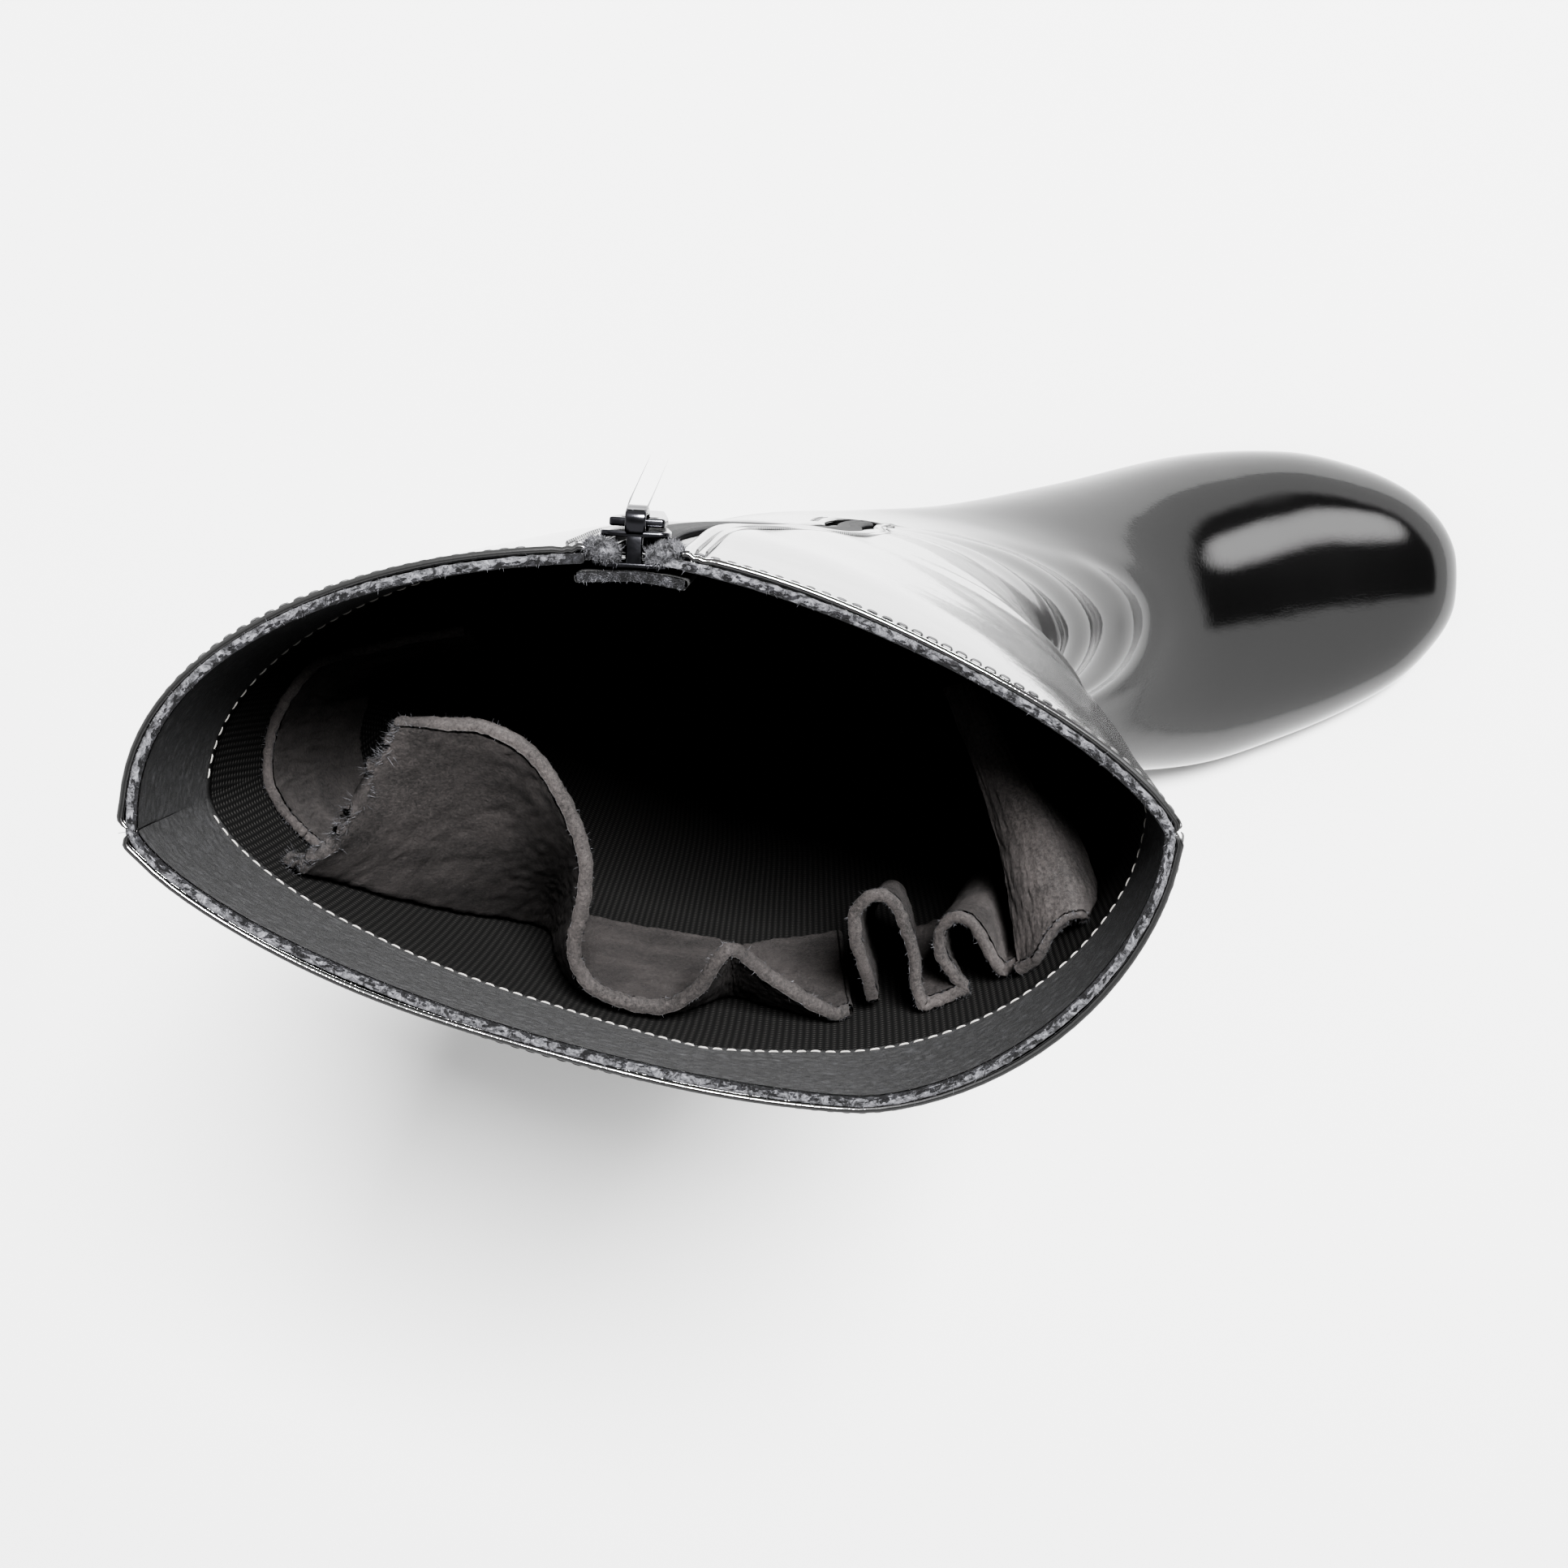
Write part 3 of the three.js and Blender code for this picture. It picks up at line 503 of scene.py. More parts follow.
# A mesh piece from points in millimetres and faces, riding on a body.
def piece(name, points, faces, material, body="boot", slot=None, smooth=True, uvs=None, replaces=()):
    mesh = bpy.data.meshes.new(name)
    mesh.from_pydata((np.asarray(points).reshape(-1, 3) * MM).tolist(), [], faces)
    mesh.materials.append(material)
    if uvs is not None:
        layer = mesh.uv_layers.new(name="cloth")
        flat = np.asarray(uvs).reshape(-1, 2) * MM
        loops = np.array([loop.vertex_index for loop in mesh.loops])
        layer.data.foreach_set("uv", flat[loops].ravel())
    mesh.validate()
    mesh.polygons.foreach_set("use_smooth", [smooth] * len(mesh.polygons))
    made = bpy.data.objects.new(name, mesh)
    bpy.context.collection.objects.link(made)
    weld(made)
    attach(made, body)
    if replaces:
        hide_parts(*replaces)
    return made


# Joins points that lie together, so that the mesh is one skin, and dissolves edges and faces that have
# collapsed.
def weld(made, distance=0.004):
    form = bmesh.new()
    form.from_mesh(made.data)
    bmesh.ops.remove_doubles(form, verts=form.verts, dist=distance * MM)
    bmesh.ops.dissolve_degenerate(form, edges=form.edges, dist=1e-7)
    form.to_mesh(made.data)
    form.free()


# Faces of a grid of points with the given rows and columns, starting at a point number.
def grid_faces(rows, columns, start=0, wrap=False, flip=False):
    faces = []
    for i in range(rows - 1):
        for j in range(columns if wrap else columns - 1):
            a, b = start + i * columns + j, start + i * columns + (j + 1) % columns
            quad = (a, b, b + columns, a + columns)
            faces.append(quad[::-1] if flip else quad)
    return faces


# Several grids gathered into one piece.
class Sheets:
    def __init__(self):
        self.points, self.faces, self.uvs = [], [], []

    def add(self, grid, uv=None, wrap=False, flip=False):
        rows, columns = grid.shape[:2]
        start = sum(len(p) for p in self.points)
        self.points.append(grid.reshape(-1, 3))
        self.uvs.append(np.zeros((rows * columns, 2)) if uv is None else uv.reshape(-1, 2))
        self.faces += grid_faces(rows, columns, start, wrap, flip)

    def cap(self, ring, flip=False):
        start = sum(len(p) for p in self.points)
        self.points.append(np.vstack([ring, ring.mean(axis=0)]))
        self.uvs.append(np.zeros((len(ring) + 1, 2)))
        for k in range(len(ring)):
            face = (start + k, start + (k + 1) % len(ring), start + len(ring))
            self.faces.append(face[::-1] if flip else face)

    # A tube or block whose sides are a grid that goes round, closed at both ends.
    def solid(self, sides):
        self.add(sides, wrap=True)
        self.cap(sides[0], flip=True)
        self.cap(sides[-1])

    def piece(self, name, material, **settings):
        return piece(name, np.vstack(self.points), self.faces, material, uvs=np.vstack(self.uvs), **settings)


# Even positions across a panel, with closer ones at set distances from both of its edges.
edge_steps = np.array([0.0, 0.25, 0.55, 0.95, 1.7, 2.3, 3.0, 4.4])


def panel_columns(start, end, cells):
    length = end - start
    scale = min(1.0, length / 30)
    near = edge_steps * scale
    inside = np.linspace(start + near[-1], end - near[-1], cells + 1)[1:-1]
    return np.concatenate([start + near, inside, (end - near)[::-1]])


# The wall of the upper as a grid: rows down from the collar, columns from the back seam round the outer side,
# over the front and back along the inner side, with the zip's opening between the second and third panels.
class Wall:
    def __init__(self, ts, half_opening, cells):
        rings = Rings(ts)
        heights = np.interp(ts, zip_parameters, zip_heights, right=0)
        rise = np.clip((heights - zip_bottom) / half_opening, 0, 1)
        half = half_opening * np.sqrt(1 - (1 - rise) ** 2)
        columns = []
        for i in range(len(ts)):
            # Below the opening the zip's line fades into the middle of the inner side.
            middle = min(rings.zip[i], rings.end[i] * 0.62) if rings.end[i] < rings.arc[i, -1] else rings.zip[i]
            columns.append(np.concatenate([
                panel_columns(rings.start[i], 0, cells[0]),
                panel_columns(0, middle - half[i], cells[1]),
                panel_columns(middle + half[i], rings.end[i], cells[2]),
            ]))
        self.ts = np.asarray(ts, float)
        self.arcs = np.array(columns)
        self.points, self.normals, self.rings = surface(ts, self.arcs)
        steps = 2 * len(edge_steps) - 1
        ends = np.cumsum([0] + [c + steps for c in cells])
        self.panels = [(ends[k], ends[k + 1]) for k in range(3)]
        closed = self.rings.closed
        seam = unit(self.normals[:, 0] + self.normals[:, -1])
        self.normals[closed, 0] = seam[closed]
        self.normals[closed, -1] = seam[closed]
        self.half = half
        self.opens = half > 0

    def at(self, depth):
        depth = np.asarray(depth, float)
        return self.points - self.normals * (depth[..., None] if depth.ndim else depth)


# Row parameter of the leg at a height above the floor.
leg_parameters = np.linspace(0, 7, 1401)
leg_heights = along_table(sections, leg_parameters)[:, 1]


def leg_row(height):
    return np.interp(-np.asarray(height, float), -leg_heights, leg_parameters)


# Strip that rolls from one edge line to another, bulging along a direction.
def rolled_edge(outer, inner, away, bulge, steps=6):
    turn = np.linspace(0, pi, steps + 1)[:, None, None]
    middle, half = (outer + inner) / 2, (outer - inner) / 2
    return middle + half * np.cos(turn) + away * bulge * np.sin(turn)


# Closed skin between two faces of a wall, with rolled edges at the top, the zip, the feather line and the toe.
def shell(name, wall_grid, outer, inner, material, bulge, **settings):
    sheets = Sheets()
    columns = outer.shape[1]
    for start, end in wall_grid.panels:
        part = slice(start, end)
        sheets.add(outer[:, part])
        sheets.add(inner[:, part], flip=True)
        sheets.add(rolled_edge(outer[0, part], inner[0, part], up_way, bulge))
        sheets.add(rolled_edge(outer[-1, part], inner[-1, part], -up_way, bulge * 0.5))
    open_rows = np.flatnonzero(wall_grid.opens)
    if len(open_rows):
        last = min(open_rows[-1] + 2, len(outer))
        for column, side in ((wall_grid.panels[1][1] - 1, 1), (wall_grid.panels[2][0], -1)):
            along = unit(outer[:last, column] - outer[:last, column - side])
            sheets.add(rolled_edge(outer[:last, column], inner[:last, column], along, bulge))
            for k in range(4):
                pair = [unit(up_way * cos(f) + along[0] * sin(f)) for f in (k * pi / 8, (k + 1) * pi / 8)]
                ends = [rolled_edge(outer[0, column], inner[0, column], away, bulge)[:, 0] for away in pair]
                sheets.add(np.stack(ends))
    feather = np.flatnonzero(~wall_grid.rings.closed)
    if len(feather):
        rows = slice(max(feather[0] - 1, 0), len(outer))
        for column in (0, columns - 1):
            sheets.add(rolled_edge(outer[rows, column], inner[rows, column], -up_way, bulge * 0.4))
    return sheets.piece(name, material, **settings)


# Soft fold across the leather: a rounded ridge with a trough beside it, fading to nothing at both ends.
def fold(t, arc, line, width, height, trough):
    stops = np.array(line)
    arcs = stops[:, 1]
    middle = np.interp(arc, arcs, stops[:, 0])
    inside = smoothstep(arc, arcs[0], arcs[0] + 0.3 * (arcs[-1] - arcs[0]))
    inside = inside * (1 - smoothstep(arc, arcs[-1] - 0.3 * (arcs[-1] - arcs[0]), arcs[-1]))
    off = (t - middle) / width
    return inside * (height * np.exp(-(off**2)) - trough * np.exp(-((off - 1.7) ** 2)))


# Levels of the rim's edge, of the cut felt along it, and of the stitches beside it.
rim_level = 454.5
cut_level = 454.6
rim_stitch_level = 453.1
rim_rows = [rim_level, 454.1, 453.5, 452.7, 451.6, 450.2, 448.4, 446.2, 443.8]
leg_levels = np.concatenate([rim_rows, np.arange(441.3, ankle_level, -2.5)])
zip_end_rows = [zip_row(zip_bottom + rise) for rise in (8, 6.5, 5, 3.6, 2.4, 1.4, 0.6, 0.1)]
foot_levels = np.linspace(7, 20.93, 118)
wall_rows = np.unique(np.concatenate([leg_row(leg_levels), foot_levels, zip_end_rows]))
upper_wall = Wall(wall_rows, zip_opening / 2, (56, 32, 30))


# How far the leather stands out from the last: turned seam edges, the notch that they make at the collar, the
# collar's own unevenness, and creases above the instep.
def leather_relief(wall_grid):
    rings, arcs = wall_grid.rings, wall_grid.arcs
    t = wall_grid.ts[:, None] + 0 * arcs
    z = wall_grid.points[..., 2]
    to_back = np.minimum(arcs - rings.start[:, None], rings.end[:, None] - arcs)
    to_back = np.where(rings.closed[:, None], to_back, 40.0)
    to_front = np.abs(arcs)
    leg_part = 1 - smoothstep(t, 7.6, 9.2)
    relief = leg_part * (-0.5 * hump(to_front, 0, 0.5) + 0.18 * hump(to_front, 1.5, 1.0))
    relief += np.where(rings.closed[:, None], -0.75 * hump(to_back, 0, 0.7) + 0.28 * hump(to_back, 2.0, 1.4), 0)
    near_collar = np.exp(-((collar_height - z) / 9))
    relief += near_collar * (-1.0 * hump(to_back, 0, 1.1) - 0.8 * hump(to_front, 0, 0.9))
    relief += near_collar * 0.25 * np.sin(arcs / 11 + 1.3) * np.sin(arcs / 27)
    leg_wave = 0.5 * np.sin(arcs / 24 + z / 37) * np.sin(z / 31 + arcs / 60)
    relief += leg_wave * smoothstep(z, 120, 200) * (1 - smoothstep(z, 400, 450))
    to_zip = np.abs(arcs - rings.zip[:, None])
    zip_part = smoothstep(z, zip_bottom - 12, zip_bottom + 4) * smoothstep(arcs, 0, 5)
    relief += zip_part * 0.3 * hump(to_zip, zip_opening / 2 + 0.8, 0.7)
    for offset in zip_stitch_offsets:
        relief -= zip_part * 0.22 * hump(to_zip, zip_opening / 2 + offset, 0.35)
    for line, width, height, trough in instep_folds:
        relief += fold(t, arcs, line, width, height, trough)
    return relief


# The two rows of stitches beside the zip, from its edge.
zip_stitch_offsets = (1.7, 3.0)

# Creases, given one by one: points of row and arc along the crest, width in rows, height and trough in
# millimetres.
instep_folds = [
    ([(8.3, -62), (8.9, -30), (9.25, 0), (8.9, 34), (8.3, 64)], 0.34, 1.3, 0.9),
    ([(9.6, -52), (10.2, -24), (10.5, 4), (10.2, 30), (9.6, 56)], 0.34, 1.1, 0.7),
    ([(7.0, -60), (7.35, -20), (7.5, 8), (7.3, 36), (7.0, 58)], 0.36, 0.8, 0.5),
    ([(5.6, -70), (5.95, -38), (6.1, -8), (6.0, 16), (5.8, 34)], 0.22, 1.1, 0.9),
    ([(11.2, -40), (11.7, -14), (11.9, 8), (11.6, 34)], 0.32, 0.8, 0.6),
    ([(4.2, -34), (4.45, -4), (4.6, 30), (4.5, 52)], 0.2, 0.8, 0.6),
]
relief = leather_relief(upper_wall)
leather_out = upper_wall.at(-relief)
leather_in = upper_wall.at(leather - relief)
shell("leather_upper", upper_wall, leather_out, leather_in, patent, 0.42, slot="patent_leather",
      replaces=("upper",))


# A wall's points resampled down its columns, at row parameters given for each row and column.
def draped(points, ts, wanted):
    columns = points.shape[1]
    picked = [[np.interp(wanted[:, j], ts, points[:, j, axis]) for axis in range(3)] for j in range(columns)]
    return np.transpose(np.array(picked), (2, 0, 1))


# Depth of the felt facing below the rim, by arc from the front seam: shallow at the front and at its peak.
facing_stops = [(-175, 37), (-140, 38), (-110, 34), (-86, 24), (-70, 31), (-40, 27), (-12, 25), (20, 30),
                (60, 37), (100, 38), (140, 38), (175, 37)]


def facing_depth(arcs):
    stops = np.array(facing_stops)
    return np.interp(arcs, stops[:, 0], stops[:, 1])


felt_levels = np.concatenate([[rim_level, 454, 453, 451.5], np.arange(449, 405, -3.0)])
felt_wall = Wall(leg_row(felt_levels), zip_opening / 2 + 0.6, (56, 24, 24))
facing_share = np.linspace(0, 1, len(felt_levels))[:, None]
facing_top = leg_row(rim_level)
facing_bottom = leg_row(collar_height - facing_depth(felt_wall.arcs[0]))
facing_rows = facing_top + (facing_bottom - facing_top) * facing_share
facing_out = draped(felt_wall.at(leather + 0.06), felt_wall.ts, facing_rows)
facing_in = draped(felt_wall.at(wall + 0.3), felt_wall.ts, facing_rows)
shell("felt_facing", felt_wall, facing_out, facing_in, charcoal_felt, 0.5, slot="lining")

knit_rows = np.unique(np.concatenate([leg_row(np.arange(434, ankle_level, -8.0)), np.linspace(7, 20.6, 60),
                                      zip_end_rows[::2]]))
knit_wall = Wall(knit_rows, zip_opening / 2 + 0.6, (44, 20, 20))
cloth_uv = np.stack([knit_wall.arcs, knit_wall.points[..., 2]], -1)


# Knitted lining from under the facing to the toe.
def knit_lining():
    outer, inner = knit_wall.at(leather + 0.08), knit_wall.at(wall - 0.25)
    sheets = Sheets()
    for start, end in knit_wall.panels:
        part = slice(start, end)
        sheets.add(outer[:, part], cloth_uv[:, part])
        sheets.add(inner[:, part], cloth_uv[:, part], flip=True)
        for row in (0, -1):
            edge = np.stack([outer[row, part], inner[row, part]])
            sheets.add(edge, np.stack([cloth_uv[row, part]] * 2))
    open_rows = np.flatnonzero(knit_wall.opens)
    last = open_rows[-1] + 2
    for column in (knit_wall.panels[1][1] - 1, knit_wall.panels[2][0]):
        sheets.add(np.stack([outer[:last, column], inner[:last, column]]))
    rows = slice(np.flatnonzero(~knit_wall.rings.closed)[0] - 1, len(outer))
    for column in (0, outer.shape[1] - 1):
        sheets.add(np.stack([outer[rows, column], inner[rows, column]]))
    return sheets.piece("knit_lining", knit, slot="lining")


knit_lining()


# Points and outward normals along a line on the wall, given by rows and arcs.
def trail(ts, arcs):
    points, normals, _ = surface(np.asarray(ts, float), np.asarray(arcs, float)[:, None])
    return points[:, 0], normals[:, 0]


# Round tube along a path, with a side direction for each point.
def tube(path, side, radius, sides=6):
    ahead = unit(np.gradient(path, axis=0))
    across = unit(np.cross(ahead, side))
    over = np.cross(across, ahead)
    turn = np.arange(sides) * tau / sides
    spread = np.cos(turn)[None, :, None] * across[:, None] + np.sin(turn)[None, :, None] * over[:, None]
    return path[:, None] + np.reshape(radius, (-1, 1, 1)) * spread


# Row of stitches along a line: each one a short thread that dips into the cloth at both ends.
def stitches(name, points, normals, pitch, length, radius, material, lift=0.0, slot=None):
    steps = np.linalg.norm(np.diff(points, axis=0), axis=1)
    arc = np.concatenate([[0], np.cumsum(steps)])
    sheets = Sheets()
    share = np.linspace(-1, 1, 7)
    for middle in np.arange(pitch, arc[-1] - pitch, pitch):
        at = middle + share * length / 2
        path = np.stack([np.interp(at, arc, points[:, k]) for k in range(3)], -1)
        face = unit(np.stack([np.interp(at, arc, normals[:, k]) for k in range(3)], -1))
        height = lift + radius * (0.9 - 1.7 * share**4)
        grid = tube(path + face * height[:, None], face, radius * np.sqrt(1 - 0.7 * share**4), 6)
        sheets.solid(grid)
    return sheets.piece(name, material, slot=slot)


# Loose fibres that stand up from a cut edge: thin curved blades about 1 mm long.
def fibres(name, points, away, side, count, length, material, slot, seed, spread=0.9, lean=0.8):
    draw = np.random.default_rng(seed)
    pick = draw.uniform(0, len(points) - 1.001, count)
    i = pick.astype(int)
    f = (pick - i)[:, None]
    root = points[i] * (1 - f) + points[i + 1] * f + side[i] * draw.uniform(-spread / 2, spread / 2, (count, 1))
    ahead = unit(points[i + 1] - points[i])
    way = unit(away[i] + side[i] * draw.normal(0, lean, (count, 1)) + ahead * draw.normal(0, lean, (count, 1)))
    curl = unit(draw.normal(0, 1, (count, 3)))
    long = length * draw.uniform(0.3, 1.0, (count, 1))
    width = 0.035
    flat = unit(np.cross(way, curl)) * width
    rows = []
    for share, narrow in ((0, 1.0), (0.35, 0.9), (0.7, 0.7), (1.0, 0.15)):
        middle = root + way * long * (share - 0.03) + curl * long * 0.35 * share**2
        rows.append(np.stack([middle - flat * narrow, middle + flat * narrow], 1))
    grid = np.stack(rows, 1)
    faces = []
    for k in range(count):
        for r in range(3):
            a = k * 8 + r * 2
            faces.append((a, a + 1, a + 3, a + 2))
    return piece(name, grid.reshape(-1, 3), faces, material, slot=slot)


stitch_pitch = 2.2
rim_arcs = np.linspace(-172.5, 80, 300)
back_arcs = np.linspace(98, 172.5, 90)
for part, arcs_here in (("front", rim_arcs), ("back", back_arcs)):
    line, face = trail(np.full(len(arcs_here), leg_row(rim_stitch_level)), arcs_here)
    stitches(f"rim_stitches_{part}", line, face, stitch_pitch, 1.7, 0.17, black_thread, lift=-0.09,
             slot="patent_leather")
for part, arcs_here in (("front", rim_arcs), ("back", back_arcs)):
    line, face = trail(leg_row(collar_height - facing_depth(arcs_here) + 1.6), arcs_here)
    stitches(f"facing_stitches_{part}", line - face * (wall + 0.3), -face, stitch_pitch, 1.6, 0.14, pale_thread,
             slot="lining")

zip_levels = np.linspace(450.5, zip_bottom + 4, 240)
zip_stitch_rows = np.array([zip_row(level) for level in zip_levels])
zip_arcs = Rings(zip_stitch_rows).zip
for side, name in ((-1, "front"), (1, "back")):
    for number, offset in enumerate(zip_stitch_offsets, 1):
        line, face = trail(zip_stitch_rows, zip_arcs + side * (zip_opening / 2 + offset))
        stitches(f"zip_stitches_{name}_{number}", line, face, stitch_pitch, 1.8, 0.24, black_thread, lift=-0.08,
                 slot="patent_leather")


# The zip's middle line from the collar to its lower end, by length.
class ZipLine:
    def __init__(self):
        rows = np.array([zip_row(level) for level in np.linspace(collar_height, zip_bottom + gap, 220)])
        frames = [zip_frame(row) for row in rows]
        self.ways = [np.array([frame_here[k] for frame_here in frames]) for k in range(4)]
        steps = np.linalg.norm(np.diff(self.ways[0], axis=0), axis=1)
        self.arc = np.concatenate([[0], np.cumsum(steps)])

    def at(self, lengths):
        return [np.stack([np.interp(lengths, self.arc, way[:, k]) for k in range(3)], -1) for way in self.ways]


zip_line = ZipLine()
coil_pitch = 1.25
coil_wire = 0.3
chain_start = 6.2
loops_steps = 12


# Two coils of nylon wire whose heads lie between one another along the zip's middle.
def coil_chain():
    sheets = Sheets()
    length = zip_line.arc[-1] - chain_start
    turns = int(length / coil_pitch)
    phase = np.linspace(0, turns * tau, turns * loops_steps + 1)
    for side, start in ((1, 0), (-1, 0.5)):
        lengths = chain_start + (phase / tau + start) * coil_pitch
        points, back, up, outward = zip_line.at(lengths)
        across = side * (1.2 + 1.55 * np.cos(phase))
        depth = 1.05 - 0.72 * np.sin(phase)
        path = points + back * across[:, None] - outward * depth[:, None]
        grid = tube(path, up, coil_wire, 6)
        sheets.solid(grid)
    return sheets.piece("zip_coils", nylon, slot="zip_chain", replaces=("zip_chain",))


coil_chain()


# Band that follows the wall beside the zip: lengthways rows, offsets from the zip's middle and two depths.
def zip_band(name, levels, offsets, near, far, material, slot, replaces, bulge=0.3):
    rows = np.array([zip_row(level) for level in levels])
    middle = Rings(rows).zip
    points, normals, _ = surface(rows, middle[:, None] + np.asarray(offsets)[None, :])
    near, far = np.broadcast_to(near, (len(rows), 1)), np.broadcast_to(far, (len(rows), 1))
    outer, inner = points - normals * near[..., None], points - normals * far[..., None]
    flat = np.stack([middle[:, None] * 0 + np.asarray(offsets)[None, :], -np.asarray(levels)[:, None]
                     + 0 * points[..., 0]], -1)
    sheets = Sheets()
    sheets.add(outer, flat)
    sheets.add(inner, flat, flip=True)
    for row, away in ((0, up_way), (-1, -up_way)):
        sheets.add(rolled_edge(outer[row], inner[row], away, bulge))
    for column, step in ((0, 1), (-1, -1)):
        away = unit(outer[:, column] - outer[:, column + step])
        sheets.add(rolled_edge(outer[:, column], inner[:, column], away, bulge))
    return sheets.piece(name, material, slot=slot, replaces=replaces)


tape_levels = np.linspace(collar_height - 1.6, zip_bottom + 1, 120)
zip_band("zip_tape_cloth_back", tape_levels, np.linspace(1.4, tape_width / 2, 9), 1.9, 2.12, tape_cloth,
         "zip_tape", ("zip_tape_back",), 0.1)
zip_band("zip_tape_cloth_front", tape_levels, np.linspace(-tape_width / 2, -1.4, 9), 1.9, 2.12, tape_cloth,
         "zip_tape", ("zip_tape_front",), 0.1)
guard_levels = np.concatenate([np.linspace(collar_height - 0.5, 415, 24),
                               np.linspace(412, collar_height - guard_length, 60)])
guard_bow = (plate_thickness + gap) * smoothstep(guard_levels, collar_height - guard_bow_length,
                                                 collar_height - slider_length)[:, None]
zip_band("felt_guard", guard_levels, np.linspace(-guard_width / 2, guard_width / 2, 19), wall + gap + guard_bow,
         wall + gap + guard_bow + guard_thickness, charcoal_felt, "lining", ("zip_guard",), 0.4)


# Folded end of a zip tape: the raw cloth turned over beside the slider's post, as a soft fuzzy roll.
def folded_end(name, near, far, seed):
    point, back, up, outward = zip_frame(zip_row(collar_height - 2.4))
    draw = np.random.default_rng(seed)
    f = np.linspace(0, 1, 25)
    swell = np.sin(pi * np.clip(f, 0.04, 0.97)) ** 0.45
    turn = np.arange(20) * tau / 20
    rows = []
    for share, size in zip(f, swell):
        across = near + (far - near) * share
        rise, sink = 1.1 + 0.4 * sin(3 * share), 1.0 + 0.35 * cos(4 * share)
        middle = point + back * across + up * rise - outward * sink
        lumps = 1 + 0.13 * draw.normal(0, 1, 20)
        ring = middle + (np.cos(turn) * 1.45 * lumps)[:, None] * size * outward
        rows.append(ring + (np.sin(turn) * 1.5 * lumps)[:, None] * size * up)
    grid = np.stack(rows)
    sheets = Sheets()
    sheets.solid(grid)
    sheets.piece(name, raw_felt, slot="zip_tape")
    spine = grid.mean(axis=1)
    for k, way in enumerate((up, outward, up - outward)):
        side = unit(np.cross(way, back))
        root = spine + unit(way) * 1.25 * swell[:, None]
        fibres(f"{name}_fluff_{k}", root, unit(way) + 0 * root, side + 0 * root, 420, 1.0, raw_felt, "zip_tape",
               seed + k, spread=2.2, lean=0.9)


folded_end("tape_end_back", post_width / 2 + 0.5, zip_opening / 2 + 0.3, 51)
folded_end("tape_end_front", -post_width / 2 - 0.5, -zip_opening / 2 - 0.3, 61)
guard_top, guard_face = trail(np.full(60, zip_row(collar_height - 0.8)),
                              Rings([zip_row(collar_height - 0.8)] * 60).zip + np.linspace(-7.6, 7.6, 60))
fibres("guard_fibres", guard_top - guard_face * (wall + gap + plate_thickness + gap + guard_thickness / 2)
       + 0.5 * up_way, up_way + 0 * guard_top, guard_face, 700, 0.8, raw_felt, "lining", 71, spread=1.3)


# Flat outlines filled and extruded with rounded edges, as points and faces in millimetres.
def stamped(outlines, thickness, rounding, steps=3):
    flat = bpy.data.curves.new("outline", "CURVE")
    flat.dimensions = "2D"
    flat.fill_mode = "BOTH"
    flat.extrude = thickness / 2 - rounding
    flat.bevel_depth = rounding
    flat.bevel_resolution = steps
    flat.offset = -rounding
    for outline in outlines:
        line = flat.splines.new("POLY")
        line.points.add(len(outline) - 1)
        line.points.foreach_set("co", [v for x, y in outline for v in (x, y, 0, 1)])
        line.use_cyclic_u = True
    holder = bpy.data.objects.new("outline", flat)
    mesh = bpy.data.meshes.new_from_object(holder)
    points = np.array([v.co[:] for v in mesh.vertices])
    faces = [tuple(p.vertices) for p in mesh.polygons]
    bpy.data.objects.remove(holder)
    bpy.data.curves.remove(flat)
    bpy.data.meshes.remove(mesh)
    return points, faces


# Outline with its corners rounded: each corner given as x, y and radius.
def rounded(corners, steps=5):
    outline = []
    count = len(corners)
    for i in range(count):
        before, here, after = (np.array(corners[(i + k) % count][:2]) for k in (-1, 0, 1))
        radius = corners[i][2]
        if radius <= 0:
            outline.append(tuple(here))
            continue
        into, out = unit(before - here), unit(after - here)
        for f in np.linspace(0, 1, steps + 1):
            a, b = here + into * radius, here + out * radius
            outline.append(tuple((1 - f) ** 2 * a + 2 * f * (1 - f) * here + f**2 * b))
    return outline


# Place and directions of the slider: back, up, outward, and its middle point.
def slider_place(plumb):
    point, back, up, outward = zip_frame(zip_row(collar_height - slider_drop - slider_length / 2))
    if plumb:
        up = up_way
        back = unit(back * [1, 1, 0])
        outward = np.cross(back, up)
    return point, np.stack([back, up, outward])


slider_point, slider_ways = slider_place(False)
plate_outside = plate_rise + plate_thickness
bridge_middle = (slider_length - bridge_length) / 2


def in_slider(points):
    return slider_point + np.asarray(points) @ slider_ways


# Parts of one casting gathered into a piece: each with its points already in the slider's directions.
class Casting:
    def __init__(self):
        self.points, self.faces = [], []

    def add(self, points, faces):
        start = sum(len(p) for p in self.points)
        self.points.append(np.asarray(points))
        self.faces += [tuple(i + start for i in face) for face in faces]

    def piece(self, name, place, material, **settings):
        return piece(name, place(np.vstack(self.points)), self.faces, material, **settings)


